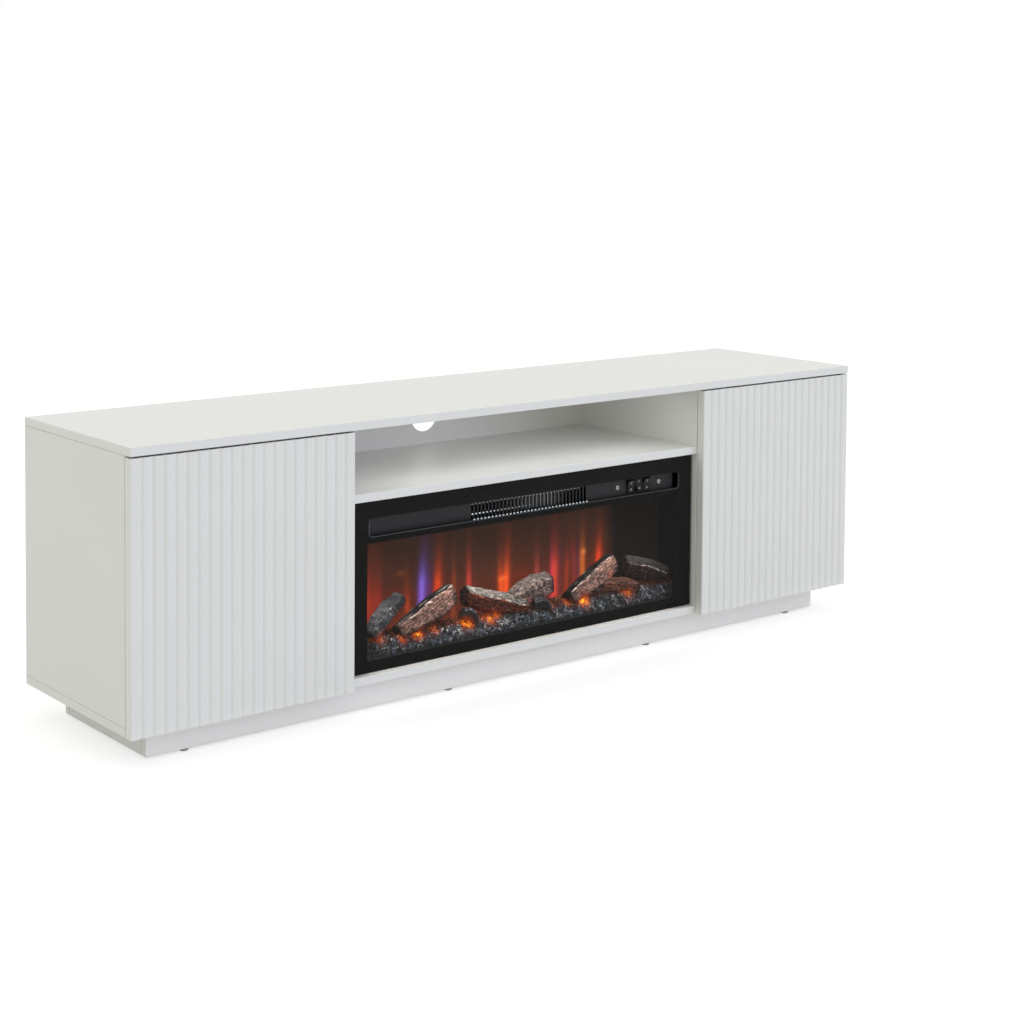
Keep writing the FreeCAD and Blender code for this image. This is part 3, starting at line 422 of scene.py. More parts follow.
# ends as shares of half the bed length, bed depth and pile height, girth, then the look;
# skirt fills in below the high end
logLooks = {
    "log_far_left": {"ends": ((-0.85, 0.4, 0.37), (-0.65, 0.66, 1.02)), "girth": 0.85, "style": "charred",
                     "tip": 0.6},
    "log_split_left": {"ends": ((-0.71, 0.34, 0.37), (-0.365, 0.68, 1.0)), "girth": 0.98, "style": "split",
                       "bow": 0.1, "skirt": 0.9},
    "log_ridge_middle": {"ends": ((-0.28, 0.68, 0.82), (0.04, 0.36, 0.38)), "girth": 1.05, "style": "ridge",
                         "bow": -0.4, "skirt": 0.5},
    "log_grey_middle": {"ends": ((-0.03, 0.5, 0.5), (0.225, 0.66, 0.8)), "girth": 1.05, "style": "grey",
                        "skirt": 0.7},
    "log_split_right": {"ends": ((0.3, 0.34, 0.38), (0.63, 0.68, 1.0)), "girth": 0.98, "style": "split",
                        "bow": 0.1, "skirt": 0.9},
    "log_ridge_right": {"ends": ((0.72, 0.72, 0.84), (0.96, 0.4, 0.48)), "girth": 0.95, "style": "dusty",
                        "bow": 0.2, "skirt": 0.9},
    # dim: painted shade, this whole log drawn darker
    "log_brown_right": {"ends": ((0.5, 0.5, 0.4), (0.74, 0.28, 0.35)), "girth": 0.8, "style": "brown",
                        "dim": 0.75},
    "stub_left": {"ends": ((-0.335, 0.42, 0.5), (-0.27, 0.26, 0.28)), "girth": 0.62, "style": "burnt"},
    "stub_right": {"ends": ((0.085, 0.36, 0.36), (0.165, 0.22, 0.28)), "girth": 0.62, "style": "burnt"},
}
# flats round the section: direction (degrees, 0 faces the room, 90 up), distance share, paint;
# ash on the first arris and in streaks over the other flats
logStyles = {
    "charred": {"ash": 0.2, "streaks": 0.35,
                "flats": [(5, 0.9, "505358"), (75, 0.85, "3C3F44"), (150, 0.95, "24272B"),
                          (225, 0.9, "1C1C1E"), (295, 0.88, "3A241C")]},
    "burnt": {"ash": 0.3, "streaks": 0.4,
              "flats": [(5, 0.9, "24262A"), (75, 0.85, "2A2C30"), (150, 0.95, "1A1B1D"),
                        (225, 0.9, "1C1C1E"), (295, 0.88, "3A241C")]},
    "split": {"ash": 0.95, "streaks": 0.5,
              "flats": [(14, 0.8, "82665C"), (88, 0.8, "0C0B0C"), (130, 0.76, "0E0E10"),
                        (205, 0.9, "1A1412"), (-44, 1.0, "4E3228"), (280, 1.3, "4A2418")]},
    "ridge": {"ash": 0.7, "streaks": 0.1,
              "flats": [(58, 0.8, "666460"), (-16, 0.84, "7C3E24"), (125, 0.85, "2A2624"),
                        (205, 0.95, "1A1412"), (285, 0.8, "74301C")]},
    "dusty": {"ash": 0.6, "streaks": 0.15,
              "flats": [(52, 0.82, "2C2A29"), (-20, 0.86, "46302A"), (125, 0.85, "2A2826"),
                        (205, 0.95, "1A1412"), (285, 0.9, "4A2418")]},
    "grey": {"ash": 0.5, "streaks": 0.3,
             "flats": [(0, 0.88, "82716B"), (76, 0.8, "4A4340"), (145, 0.95, "2A2624"),
                       (220, 0.9, "1A1412"), (-46, 1.0, "553A30"), (285, 1.1, "4A281C")]},
    "brown": {"ash": 0.3, "streaks": 0.15,
              "flats": [(0, 0.85, "7C5040"), (75, 0.8, "4C342C"), (145, 0.95, "2A1C18"),
                        (220, 0.9, "1A1412"), (290, 0.85, "6A2C18")]},
}
trunkForm = {
    "radiusMm": 20, "pileMm": 90, "bendMm": 7, "rows": 170, "columns": 160, "sharpness": 11,
    "stations": (0.0, 0.3, 0.65, 1.0), "tapers": (0.86, 1.0, 1.04, 0.8), "bows": (0.0, 0.8, 0.7, 0.0),
    "capShare": 0.05, "capPower": 0.3, "raggedMm": 3, "wander": 0.14, "twist": 0.2, "skirtBelow": -0.5,
    "grain": 0.035, "lumps": 0.035, "cracks": 0.05, "crackBand": (0.02, 0.18),
    "firstSeed": 11, "seedStep": 13,
    # stretch along the log, step of the seed, how many waves, most turns along and round
    "waves": {"grain": (1.2, 0, 18, 3, 34), "lumps": (2, 50, 8, 4, 4), "wander": (1, 60, 6, 2, 3),
              "cracks": (2.2, 33, 14, 4, 30), "ragged": (0, 90, 5, 2, 9), "fine": (3, 7, 20, 8, 44),
              "streaks": (1.5, 71, 16, 3, 40)},
}
trunkPaint = {
    "sharpness": 22, "grain": 0.1, "fine": 0.4, "fineRange": (0.25, 1.8), "crackDark": 0.6,
    "ash": "CFC9C1", "arrisBand": (0.35, 0.95), "ashBand": (-0.8, 0.2), "streakBand": (0.65, 1.15),
    "tipBand": (0.52, 0.75), "tipLumps": 0.06, "burnt": "101011", "burntShare": 0.85,
    "burntBand": (0.03, 0.13), "burntLumps": 0.025,
    "glow": "FF5A0A", "glowSides": (-0.3, 0.6), "glowBand": (-0.2, 0.7), "glowLift": 0.2,
}


def trunk(name, look, seed):
    # a flat-sided ring, radius = taper(s) x soft polygon(angle) x grain ripple, carried along a bowed line;
    # both ends close to a point over ragged cuts
    form, paint, style = trunkForm, trunkPaint, logStyles[look["style"]]
    half = (bedHigh[0] - bedLow[0]) / 2
    ends = np.array(look["ends"])
    ends = np.stack([ends[:, 0] * half, bedLow[1] + ends[:, 1] * (bedHigh[1] - bedLow[1]),
                     bedLook["lipMm"] + ends[:, 2] * form["pileMm"]], 1)
    run = ends[1] - ends[0]
    along = run / np.linalg.norm(run)
    across = np.cross(along, (0, 0, 1))
    across /= np.linalg.norm(across)
    up = np.cross(across, along)
    t = np.linspace(0, 1, form["rows"])[:, None]
    v = np.linspace(0, 1, form["columns"] + 1)[None, :]
    # the first and last rows turn in over the cut ends
    toEnd = np.minimum(t, 1 - t)
    s = np.clip((t - form["capShare"]) / (1 - 2 * form["capShare"]), 0, 1)
    cap = np.clip(toEnd / form["capShare"], 0, 1)

    def waves(kind):
        stretch, step, *counts = form["waves"][kind]
        return ripples(s * stretch, v, seed + step, *counts)

    grain, lumps = waves("grain"), waves("lumps")
    angle = 2 * np.pi * v
    normals = np.radians([f[0] for f in style["flats"]])[:, None, None]
    reach = np.array([f[1] for f in style["flats"]])[:, None, None]
    raised = s if run[2] > 0 else 1 - s
    reach = reach * (1 + look.get("skirt", 0) * (np.sin(normals) < form["skirtBelow"]) * raised)
    wander = form["wander"] * waves("wander") + form["twist"] * (s - 0.5)
    nearness = np.maximum(np.cos(angle + wander - normals) / reach, 0) ** form["sharpness"]
    ring = nearness.sum(0) ** (-1 / form["sharpness"])
    body = form["radiusMm"] * look["girth"] * np.interp(s, form["stations"], form["tapers"])
    cracks = 1 - smoothStep(*form["crackBand"], np.abs(waves("cracks")))
    relief = 1 + form["grain"] * grain + form["lumps"] * lumps - form["cracks"] * cracks
    radius = body * ring * relief * cap ** form["capPower"]
    bow = np.interp(s, form["stations"], form["bows"]) * form["bendMm"] * look.get("bow", 1.0)
    ragged = form["raggedMm"] * waves("ragged") * np.where(t < 0.5, -1, 1) * (1 - cap) * (cap > 0)
    centre = ends[0] + run * s[..., None] + up * bow[..., None]
    points = centre + along * ragged[..., None] + radius[..., None] * (
        across * np.cos(angle)[..., None] + up * np.sin(angle)[..., None])
    flat = points.reshape(-1, 3)
    # paint follows the flats, broken up by the grain; ash where two flats meet
    turned = angle + wander + paint["grain"] * grain - normals
    share = np.maximum(np.cos(turned) / reach, 0) ** paint["sharpness"]
    share = (share / share.sum(0)).reshape(len(style["flats"]), -1)
    coat = share.T @ np.array([rgb(f[2]) for f in style["flats"]])
    fine = waves("fine").reshape(-1, 1)
    arris = smoothStep(*paint["arrisBand"], 4 * share[0] * share[1])[:, None]
    ash = style["ash"] * arris * smoothStep(*paint["ashBand"], fine)
    streak = smoothStep(*paint["streakBand"], waves("streaks")).reshape(-1, 1)
    ash = np.maximum(ash, style["streaks"] * streak * (1 - share[0])[:, None])
    coat = coat * (1 - ash) + rgb(paint["ash"]) * ash
    # a look's dim is painted shade over the whole log
    coat = coat * np.clip(1 + paint["fine"] * fine, *paint["fineRange"]) * look.get("dim", 1.0)
    coat = coat * (1 - paint["crackDark"] * cracks.reshape(-1, 1))
    tip = smoothStep(*paint["tipBand"], s + paint["tipLumps"] * lumps)
    coat = coat * (1 - look.get("tip", 0) * tip).reshape(-1, 1)
    scorch = 1 - smoothStep(*paint["burntBand"], toEnd + paint["burntLumps"] * lumps)
    burnt = scorch.reshape(-1, 1) * paint["burntShare"]
    coat = coat * (1 - burnt) + rgb(paint["burnt"]) * burnt
    below = (1 - smoothStep(*paint["glowSides"], np.sin(angle) + 0 * s)).reshape(-1, 1)
    heat = emberHeat(flat)[:, None] * smoothStep(*paint["glowBand"], fine + paint["glowLift"]) * below
    uv = np.stack([np.broadcast_to(s, radius.shape), np.broadcast_to(v, radius.shape)], -1).reshape(-1, 2)
    obj = buildMesh(name, flat * mm, gridFaces(form["rows"], form["columns"] + 1), finishes["log_resin"],
                    uv=uv, colours={"coat": coat, "glow": rgb(paint["glow"]) * heat}, weld=1e-6)
    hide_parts("logs")


for number, (name, look) in enumerate(logLooks.items()):
    trunk(name, look, trunkForm["firstSeed"] + trunkForm["seedStep"] * number)
print("logs made:", len(logLooks))


# Bed: height field with a cindery ripple, carried round underneath to its front foot,
# each end drawn in to a point
def cinderBed():
    look = bedLook
    rows, columns = look["rows"], look["columns"]
    x = np.linspace(bedLow[0], bedHigh[0], columns)[None, :]
    y = np.linspace(bedLow[1], bedHigh[1], rows)[:, None]
    runX, runY = look["rippleRunMm"]
    crust = ripples(x / runX, y / runY, seed=3, count=22, alongMax=9, roundMax=5)
    z = bedHeight(x + 0 * y, y + 0 * x) - look["sinkMm"] + look["rippleMm"] * crust
    top = np.stack([x + 0 * y, y + 0 * x, z], -1)
    foot = top.copy()
    foot[..., 2] = bedLow[2]
    # front wall, surface, back wall, underside
    points = np.concatenate([foot[:1], top, foot[-1:], foot[:1]])
    tip = points.mean(0, keepdims=True) + 0 * points
    points = np.concatenate([tip[:, :1], points, tip[:, -1:]], 1)
    flat = points.reshape(-1, 3)
    coat = rgb(look["tone"]) * np.ones((len(flat), 1))
    warm = rgb(look["glow"]) * emberHeat(flat)[:, None] * look["glowPower"]
    obj = buildMesh("cinder_bed", flat * mm, gridFaces(rows + 3, columns + 2), finishes["ember_resin"],
                    colours={"coat": coat, "glow": warm}, weld=1e-6)
    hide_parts("ember_bed")


# Chips: one twenty-faced lump, stretched and turned for each place
chipLook = {
    "count": 6400, "seed": 8, "sizeMm": (1.8, 3.6), "stretch": ((1.3, 2.6), (0.4, 0.8), (0.3, 0.55)),
    "rough": (0.75, 1.2), "tones": ("444B54", "606B77", "2C3238", "7A8692", "4E4A48"),
    "toneRange": (0.55, 1.9),
    # where they lie: clear of the ends, first share and span of the depth, crowded to the front, over the bed
    "endMm": 4, "depthShares": (0.04, 0.86), "crowding": (1.1, 1.5), "liftMm": (-1.0, 1.6), "proudMm": 2.4,
    # near-white chips as painted glints: a share lies on top and stays in front
    "glints": 0.06, "glint": "B0B6BA", "glintLiftMm": 1.2, "glintInward": 0.6,
    # paler at the lip, brown near the logs, painted shade at the right and at the left end
    "lipTone": (1.05, 0.4), "lipShares": (0.07, 0.22),
    "brown": "5A3626", "brownShares": (0.22, 0.42), "brownJitter": 0.05, "brownRange": (0.4, 1.6),
    "duskRight": (0.3, (160, 370)), "duskLeft": (0.65, (-300, -390)),
    # ember glow, with a few sparks further in
    "hot": "FF6A0C", "hottest": "FFC030", "hottestFrom": 0.8, "heatPower": 1.4, "heatRange": (0.1, 1.7),
    "sparks": 0.1, "sparkPower": 4, "heatDark": 0.8,
}


def cinderChips():
    look = chipLook
    rng = np.random.default_rng(look["seed"])
    g = (1 + 5 ** 0.5) / 2
    lump = np.array([(-1, g, 0), (1, g, 0), (-1, -g, 0), (1, -g, 0), (0, -1, g), (0, 1, g), (0, -1, -g),
                     (0, 1, -g), (g, 0, -1), (g, 0, 1), (-g, 0, -1), (-g, 0, 1)]) / (g * g + 1) ** 0.5
    sides = np.array([(0, 11, 5), (0, 5, 1), (0, 1, 7), (0, 7, 10), (0, 10, 11), (1, 5, 9), (5, 11, 4),
                      (11, 10, 2), (10, 7, 6), (7, 1, 8), (3, 9, 4), (3, 4, 2), (3, 2, 6), (3, 6, 8),
                      (3, 8, 9), (4, 9, 5), (2, 4, 11), (6, 2, 10), (8, 6, 7), (9, 8, 1)])
    n = look["count"]
    depth = bedHigh[1] - bedLow[1]
    x = rng.uniform(bedLow[0] + look["endMm"], bedHigh[0] - look["endMm"], n)
    first, span = look["depthShares"]
    y = bedLow[1] + depth * (first + span * rng.beta(*look["crowding"], n))
    place = np.stack([x, y, bedHeight(x, y) + rng.uniform(*look["liftMm"], n)], 1)
    pale = rng.uniform(size=n) < look["glints"]
    place[:, 2] += look["glintLiftMm"] * pale
    size = rng.uniform(*look["sizeMm"], (n, 1)) * rng.uniform(*np.transpose(look["stretch"]), (n, 3))
    q = rng.normal(size=(n, 4))
    a, b, c, d = (q / np.linalg.norm(q, axis=1, keepdims=True)).T
    turn = np.stack([1 - 2 * (c * c + d * d), 2 * (b * c - a * d), 2 * (b * d + a * c),
                     2 * (b * c + a * d), 1 - 2 * (b * b + d * d), 2 * (c * d - a * b),
                     2 * (b * d - a * c), 2 * (c * d + a * b), 1 - 2 * (b * b + c * c)], 1).reshape(n, 3, 3)
    rough = lump[None] * rng.uniform(*look["rough"], (n, len(lump), 1)) * size[:, None, :]
    points = (np.einsum("nij,nkj->nki", turn, rough) + place[:, None, :]).reshape(-1, 3)
    points[:, 1] = np.maximum(points[:, 1], bedLow[1] - look["proudMm"])
    faces = (sides[None] + len(lump) * np.arange(n)[:, None, None]).reshape(-1, 3)
    tones = np.array([rgb(h) for h in look["tones"]])
    tone = tones[rng.integers(0, len(tones), n)] * rng.uniform(*look["toneRange"], (n, 1))
    share = (y - bedLow[1]) / depth
    lipTone, lipFall = look["lipTone"]
    tone = tone * (lipTone - lipFall * smoothStep(*look["lipShares"], share))[:, None]
    inward = smoothStep(*look["brownShares"], share + look["brownJitter"] * rng.normal(size=n))[:, None]
    pale &= inward[:, 0] < look["glintInward"]
    tone = tone * (1 - inward) + inward * rgb(look["brown"]) * rng.uniform(*look["brownRange"], (n, 1))
    # glint chips take the near-white tone: painted highlight
    tone = np.where(pale[:, None], rgb(look["glint"]), tone)
    (right, rightBand), (left, leftBand) = look["duskRight"], look["duskLeft"]
    # dusk: painted shade, darker towards the right and at the left end
    dusk = 1 - right * smoothStep(*rightBand, x) - left * smoothStep(*leftBand, x)
    heat = emberHeat(place) ** look["heatPower"] * rng.uniform(*look["heatRange"], n)
    heat = heat + look["sparks"] * inward[:, 0] * rng.uniform(size=n) ** look["sparkPower"]
    capped = np.minimum(heat, 1)
    coat = np.repeat(tone * (dusk * (1 - look["heatDark"] * capped))[:, None], len(lump), 0)
    over = np.maximum(heat - look["hottestFrom"], 0)
    hue = rgb(look["hot"]) * capped[:, None] + rgb(look["hottest"]) * over[:, None]
    buildMesh("cinder_chips", points * mm, faces, finishes["ember_resin"],
              colours={"coat": coat, "glow": np.repeat(hue, len(lump), 0)}, smooth=False)


cinderBed()
cinderChips()
print("bed made with", chipLook["count"], "chips")


# Edge of the strip opening with a painted highlight: a thin pale bead along the lower edge and up round both
# ends, standing for the light line the polished glass edge catches there
stripLook = {"xMm": (-392, 404), "zMm": (327, 361), "cornerMm": 8, "frontMm": -168.9, "beadMm": 0.45,
             "leftArc": (120, 270), "rightArc": (270, 420), "arcPoints": 25, "roundPoints": 11,
             "taperPoints": 8}


def stripEdgeHighlight():
    look = stripLook
    (x0, x1), (z0, z1), r, n = look["xMm"], look["zMm"], look["cornerMm"], look["arcPoints"]
    angles = np.radians(np.concatenate([np.linspace(*look["leftArc"], n),
                                        np.linspace(*look["rightArc"], n)]))
    middles = np.stack([np.repeat((x0 + r, x1 - r), n), np.where(np.sin(angles) > 0, z1 - r, z0 + r)], 1)
    out = np.stack([np.cos(angles), np.sin(angles)], 1)
    path = middles + r * out
    ring = np.linspace(0, 2 * np.pi, look["roundPoints"])[None, :]
    # the bead dies out at the upper ends
    step = np.arange(2 * n)
    taper = np.minimum(np.minimum(step, step[::-1]) / look["taperPoints"], 1)[:, None]
    push = look["beadMm"] * np.cos(ring) * taper
    points = np.stack([path[:, :1] + out[:, :1] * push,
                       look["frontMm"] + look["beadMm"] * np.sin(ring) * taper,
                       path[:, 1:] + out[:, 1:] * push], -1)
    # grey tone on the black glass: painted highlight on a real edge
    edge = toothed("glass_edge_painted_highlight", "646C70", "565E62", roughness=0.2, toothMm=10, depth=0.0,
                   specular=0.3)
    buildMesh("strip_edge_painted_highlight", points.reshape(-1, 3) * mm, gridFaces(*points.shape[:2]), edge,
              weld=1e-6)


# Painted light in the grille slots: one small pale block per slot with a faint glow, standing for the light
# seen through its lower end, and a second row for its reflection that dies out to the right
slotLook = {"middleMm": 6, "halfMm": 150, "count": 33, "fade": 0.7, "halfDeepMm": 0.3,
            # y, z, how many, half width, half height
            "rows": [(-162.2, 327.4, 33, 1.9, 1.2), (-156.4, 337.0, 17, 1.7, 1.2)]}


def paintedSlotLight():
    look = slotLook
    pitch = 2 * look["halfMm"] / look["count"]
    blocks = []
    for y, z, count, halfWidth, halfHeight in look["rows"]:
        i = np.arange(count)
        fade = 1 - look["fade"] * i / count if count < look["count"] else np.ones(count)
        middle = np.stack([look["middleMm"] - look["halfMm"] + (i + 0.5) * pitch, y + 0 * i, z + 0 * i], 1)
        half = np.stack([halfWidth * fade, look["halfDeepMm"] + 0 * i, halfHeight * fade], 1)
        blocks.append((middle, half))
    # pale tone and faint glow: painted light, not a lamp
    bright = toothed("slot_end_painted_light", "EEF2F6", "E2E8EC", roughness=0.35, toothMm=4, depth=0.0,
                     glow=0.3)
    middle, half = (np.concatenate(a) for a in zip(*blocks))
    blockRow("painted_light_in_slots", middle, half, bright)


# Pan head: low dome over the radius with a cross-shaped hollow, then rim, underside and shank
screwLook = {"xMm": (241, 358), "zMm": 344, "radiusMm": 4.5, "crossMm": (1.1, 3.3), "hollowMm": 1.4,
             "shankMm": 1.6, "webMm": 8.0, "domeShare": 0.55, "softMm": 0.3, "floorMm": 0.3,
             "roundPoints": 97, "domeRings": 30}


def fasciaScrews():
    look = screwLook
    low, high = (np.array(c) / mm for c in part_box("fascia_screws"))
    # face of the web behind the fascia's lip
    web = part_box("control_fascia")[0][1] / mm + look["webMm"]
    turn = np.linspace(0, 2 * np.pi, look["roundPoints"])[None, :]
    r = np.linspace(0, look["radiusMm"], look["domeRings"])[:, None]
    u, v = r * np.cos(turn), r * np.sin(turn)
    narrow, long = look["crossMm"]

    def within(half, distance):
        return smoothStep(-half, -half + look["softMm"], -np.abs(distance))

    arm = np.maximum(within(narrow, u) * within(long, v), within(narrow, v) * within(long, u))
    rise = look["domeShare"] * (r / look["radiusMm"]) ** 3
    dome = low[1] + (web - low[1]) * rise + look["hollowMm"] * arm
    tailRadius = np.array([look["radiusMm"], look["shankMm"], look["shankMm"], 0])[:, None]
    tailDepth = np.array([web, web, high[1], high[1]])[:, None]
    tail = np.stack([tailRadius * np.cos(turn), tailDepth + 0 * turn, tailRadius * np.sin(turn)], -1)
    points = np.concatenate([np.stack([u, dome, v], -1), tail])
    bright = toothed("bright_zinc_screw", "D6D6D2", "C2C2BE", roughness=0.4, metallic=0.35, toothMm=3,
                     depth=0.05)
    for side, x in zip(("left", "right"), look["xMm"]):
        obj = buildMesh("fascia_screw_" + side, (points.reshape(-1, 3) + (x, 0, look["zMm"])) * mm,
                        gridFaces(*points.shape[:2]), bright, weld=1e-6)
        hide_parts("fascia_screws")
    # painted shade on the floor of the recess: a dark upright and a dark level bar per head
    thin, floor = look["floorMm"] / 2, low[1] + look["hollowMm"] - look["floorMm"]
    middle = np.array([(x, floor, look["zMm"]) for x in look["xMm"] for _ in range(2)])
    half = np.array([(narrow, thin, long), (long, thin, narrow)] * 2)
    # near-black tone: painted shade in the hollow
    recessShade = toothed("painted_recess_shade", "1C1C1B", "121212", roughness=0.7, toothMm=1)
    blockRow("screw_recess_shade", middle, half, recessShade)


# Printed marks on the rockers: a bar on the upper half, a ring on the lower, laid on the sloped faces
markLook = {"rockers": {"power_rocker": (276.6, 8), "low_heat_rocker": (299.0, -8),
                        "high_heat_rocker": (321.4, 8)},
            "pivotMm": (-154.9, 344), "dipMm": 3.0, "rimMm": 5.5, "halfHeightMm": 12.2, "inkMm": 0.06,
            "ringMm": (1.5, 2.1), "ringLowMm": 6.8, "ringPoints": 33,
            "barHalfMm": 0.45, "barMm": (4.6, 9.0), "barPoints": 9}


def rockerMarks():
    look = markLook
    ink = toothed("white_pad_print", "D8D8D4", "CACAC6", roughness=0.5, toothMm=2, depth=0.0)
    turn = np.linspace(0, 2 * np.pi, look["ringPoints"])[None, :]
    size = np.array(look["ringMm"])[:, None]
    across = np.array([-look["barHalfMm"], look["barHalfMm"]])[:, None]
    rise = np.linspace(*look["barMm"], look["barPoints"])[None, :]
    shapes = {"ring": (size * np.cos(turn), size * np.sin(turn) - look["ringLowMm"]),
              "bar": (across + 0 * rise, rise + 0 * across)}
    for body, (x, tilt) in look["rockers"].items():
        for kind, (u, up) in shapes.items():
            slope = (look["rimMm"] - look["dipMm"]) * np.abs(up) / look["halfHeightMm"]
            ahead = look["dipMm"] + slope + look["inkMm"]
            a = np.radians(tilt)
            y = look["pivotMm"][0] - ahead * np.cos(a) - up * np.sin(a)
            z = look["pivotMm"][1] - ahead * np.sin(a) + up * np.cos(a)
            points = np.stack([x + u, y, z], -1)
            obj = buildMesh(body + "_" + kind, points.reshape(-1, 3) * mm, gridFaces(*points.shape[:2]), ink,
                            smooth=False, weld=1e-6, body=body)
            thick = obj.modifiers.new("thickness", "SOLIDIFY")
            thick.thickness = look["inkMm"] * mm
            thick.offset = 0


# Painted shade in the seams: a thin strip low in the joint between two boards at both ends of the cabinet,
# pale grey under the slab and over the floor board, dark at the plinth's corners, and a dark sheet of painted
# shade above the doors
seamLook = {"pale": ("BDB9AC", "B2AEA1"), "dark": ("57544C", "4A4840"), "halfMm": 0.45, "deepMm": 0.12,
            "sunkMm": 0.5,
            # face x, then y and z of the two ends
            "boardLines": [(900, (-179, 199), (534, 534)), (900, (-179, 199), (73, 73))],
            "plinthLines": [(845, (-134, -134), (4.5, 56)), (845, (136, 136), (4.5, 56))],
            # painted shade in the gap above a door: x, y and z of the middle, then half sizes
            "shade": ((672.5, -190, 533.7), (225, 8.5, 0.25))}


def seamBlocks(lines):
    # middle and half sizes (mm) of the strip along each line
    look = seamLook
    rows = np.array([(x, *y, *z) for x, y, z in lines], float)
    middle = np.stack([rows[:, 0] - look["sunkMm"], rows[:, 1:3].mean(1), rows[:, 3:5].mean(1)], 1)
    half = np.stack([0 * rows[:, 0], (rows[:, 2] - rows[:, 1]) / 2, (rows[:, 4] - rows[:, 3]) / 2], 1)
    return middle, np.maximum(half, (look["deepMm"], look["halfMm"], look["halfMm"]))


def paintedSeamShade():
    look = seamLook
    middle, half = seamBlocks(look["plinthLines"])
    dark = np.vstack([middle, look["shade"][0]]), np.vstack([half, look["shade"][1]])
    pale = seamBlocks(look["boardLines"])
    for name, tone, (middle, half) in (("painted_seam_shade", "pale", pale), ("shadow_lines", "dark", dark)):
        middle, half = np.concatenate([middle, middle * (-1, 1, 1)]), np.concatenate([half, half])
        joint = toothed(tone + "_joint_painted_shade", *look[tone], roughness=0.9, toothMm=5, depth=0.0)
        blockRow(name, middle, half, joint)


paintedSeamShade()
stripEdgeHighlight()
paintedSlotLight()
fasciaScrews()
rockerMarks()
print("strip details made")


# Camera, lights, floor
cameraSetup = {"yaw": 37.5815, "pitch": 3.0302, "roll": -0.3109, "place": (-2.37113, -2.9396, 1.09209),
               "focalPixels": 1872.36, "centre": (437, 220), "framePixels": 1024, "sensorMm": 36}


def addCamera():
    look = cameraSetup
    yaw, pitch, roll = (np.radians(look[k]) for k in ("yaw", "pitch", "roll"))
    ahead = np.array([np.sin(yaw) * np.cos(pitch), np.cos(yaw) * np.cos(pitch), -np.sin(pitch)])
    level = np.array([np.cos(yaw), -np.sin(yaw), 0])
    below = np.cross(ahead, level)
    right = np.cos(roll) * level + np.sin(roll) * below
    down = -np.sin(roll) * level + np.cos(roll) * below
    data = bpy.data.cameras.new("camera")
    data.sensor_width = look["sensorMm"]
    data.lens = look["focalPixels"] / look["framePixels"] * look["sensorMm"]
    data.shift_x = 0.5 - look["centre"][0] / look["framePixels"]
    data.shift_y = look["centre"][1] / look["framePixels"] - 0.5
    data.clip_end = 60
    obj = bpy.data.objects.new("camera", data)
    turn = np.eye(4)
    turn[:3, 0], turn[:3, 1], turn[:3, 2], turn[:3, 3] = right, -down, -ahead, look["place"]
    obj.matrix_world = Matrix(turn.tolist())
    scene.collection.objects.link(obj)
    scene.camera = obj


# direction the light comes from, spread (degrees), strength, colour
sunSetup = {
    "front_window": ((0.95, -1.0, 0.38), 40, 0.46, "B0C2FF"),
    "low_front_fill": ((0.5, -1.0, 0.06), 30, 0.48, "CCD1FF"),
}
# place (m), direction the light comes from, power (W), colour, length and width (m), spread (degrees)
areaSetup = {
    # shaded row of lamps behind the top of the window, turned in towards the logs
    "firebox_downlight": ((0, -0.156, 0.316), (0, -0.36, 1), 1.35, "FFF2EA", (0.82, 0.01), 60),
    "niche_strip_light": ((0, -0.15, 0.532), (0, -0.3, 1), 0.26, "FFFFFF", (0.7, 0.02), 180),
    # low narrow row in front of the plinth
    "plinth_row_light": ((0, -0.6, 0.015), (0, -1, 0), 0.05, "FFF6E4", (2.0, 0.01), 18),
}


def aimed(place, back):
    # matrix of a lamp at a place whose light goes against the given direction
    back = np.array(back) / np.linalg.norm(back)
    side = np.cross((0, 1, 0) if abs(back[2]) > 0.99 else (0, 0, 1), back)
    side = side / np.linalg.norm(side)
    turn = np.eye(4)
    turn[:3, 0], turn[:3, 1], turn[:3, 2], turn[:3, 3] = side, np.cross(back, side), back, place
    return Matrix(turn.tolist())


def addLamp(name, kind, matrix, power, colour, **settings):
    data = bpy.data.lights.new(name, kind)
    data.energy = power
    data.color = linear(colour)[:3]
    for key, value in settings.items():
        setattr(data, key, value)
    obj = bpy.data.objects.new(name, data)
    obj.matrix_world = matrix
    obj.visible_camera = False
    obj.visible_glossy = False
    scene.collection.objects.link(obj)


floorLook = {"tone": "CACACA", "lift": 0.6, "halfSizeM": 40, "ambient": 0.855, "ambientTone": "FDFFF8"}


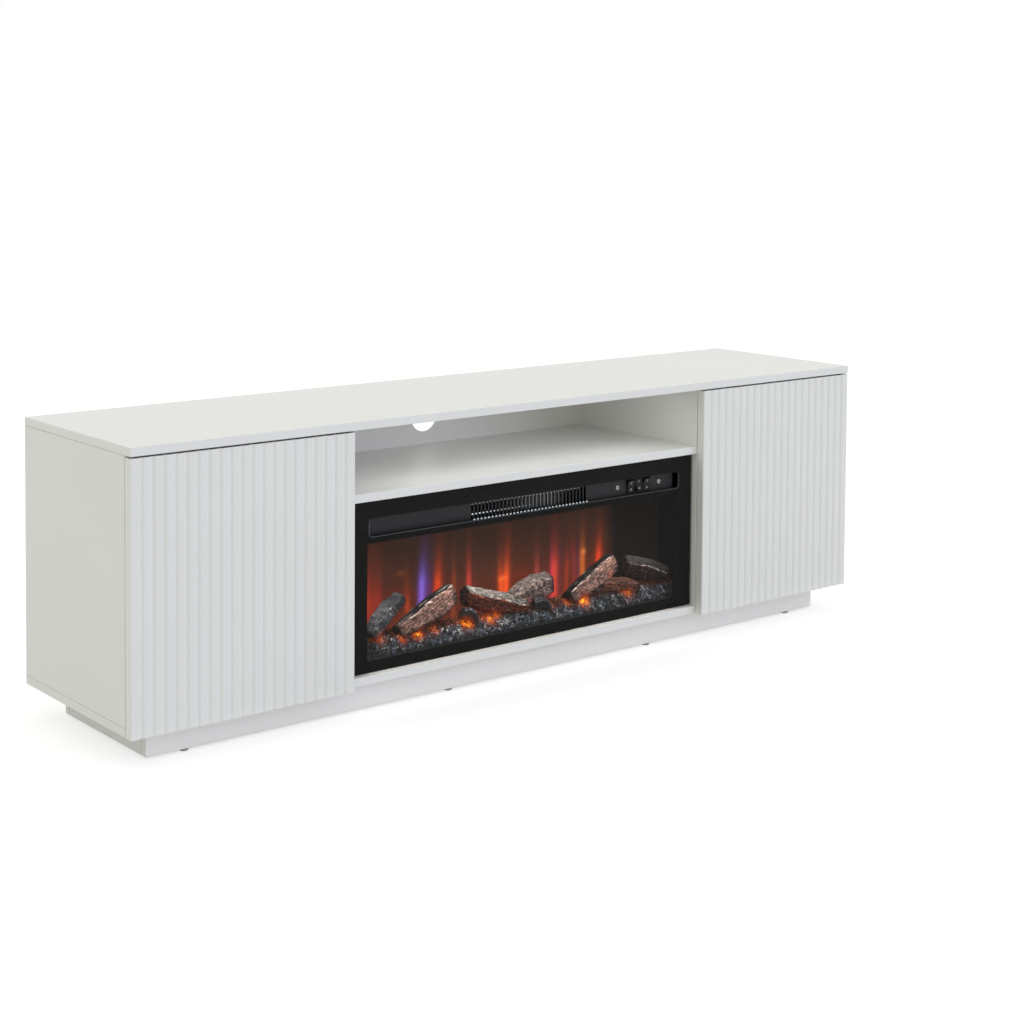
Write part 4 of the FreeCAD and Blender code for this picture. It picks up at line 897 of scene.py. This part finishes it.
def seenRay(tree):
    # 1 for a camera, mirror or see-through ray, 0 for the rays that light things
    ray = addNode(tree, "ShaderNodeLightPath")
    seen = addNode(tree, "ShaderNodeMath",
                   {0: ray.outputs["Is Camera Ray"], 1: ray.outputs["Is Glossy Ray"]},
                   operation="MAXIMUM")
    seen = addNode(tree, "ShaderNodeMath", {0: seen.outputs[0], 1: ray.outputs["Is Transmission Ray"]},
                   operation="MAXIMUM")
    return seen.outputs[0]


def addFloorAndWorld():
    look = floorLook
    mat, tree = newMaterial("pale_studio_floor")
    lift = addNode(tree, "ShaderNodeMath", {0: seenRay(tree), 1: look["lift"]}, operation="MULTIPLY")
    shader = addNode(tree, "ShaderNodeBsdfPrincipled", {"Base Color": linear(look["tone"]), "Roughness": 0.9,
                                                        "Specular IOR Level": 0.0,
                                                        "Emission Color": linear("FFFFFF"),
                                                        "Emission Strength": lift.outputs[0]})
    addNode(tree, "ShaderNodeOutputMaterial", {"Surface": shader.outputs["BSDF"]})
    r = look["halfSizeM"]
    mesh = bpy.data.meshes.new("floor")
    mesh.from_pydata([(-r, -r, 0), (r, -r, 0), (r, r, 0), (-r, r, 0)], [], [(0, 1, 2, 3)])
    mesh.materials.append(mat)
    floor = bpy.data.objects.new("floor", mesh)
    scene.collection.objects.link(floor)
    world = bpy.data.worlds.new("studio")
    scene.world = world
    world.use_nodes = True
    tree = world.node_tree
    tree.nodes.clear()
    seen = seenRay(tree)
    power = addNode(tree, "ShaderNodeMapRange", {"Value": seen, "To Min": look["ambient"], "To Max": 1.0})
    tone = addNode(tree, "ShaderNodeMixRGB", {"Fac": seen, "Color1": linear(look["ambientTone"]),
                                              "Color2": linear("FFFFFF")})
    sky = addNode(tree, "ShaderNodeBackground",
                  {"Color": tone.outputs["Color"], "Strength": power.outputs["Result"]})
    addNode(tree, "ShaderNodeOutputWorld", {"Surface": sky.outputs["Background"]})


addCamera()
for name, (source, spread, strength, colour) in sunSetup.items():
    addLamp(name, "SUN", aimed((0, 0, 3), source), strength, colour, angle=np.radians(spread))
for name, (place, source, power, colour, (long, wide), spread) in areaSetup.items():
    addLamp(name, "AREA", aimed(place, source), power, colour, shape="RECTANGLE", size=long, size_y=wide,
            spread=np.radians(spread))
addFloorAndWorld()
print("camera, lights and floor set")
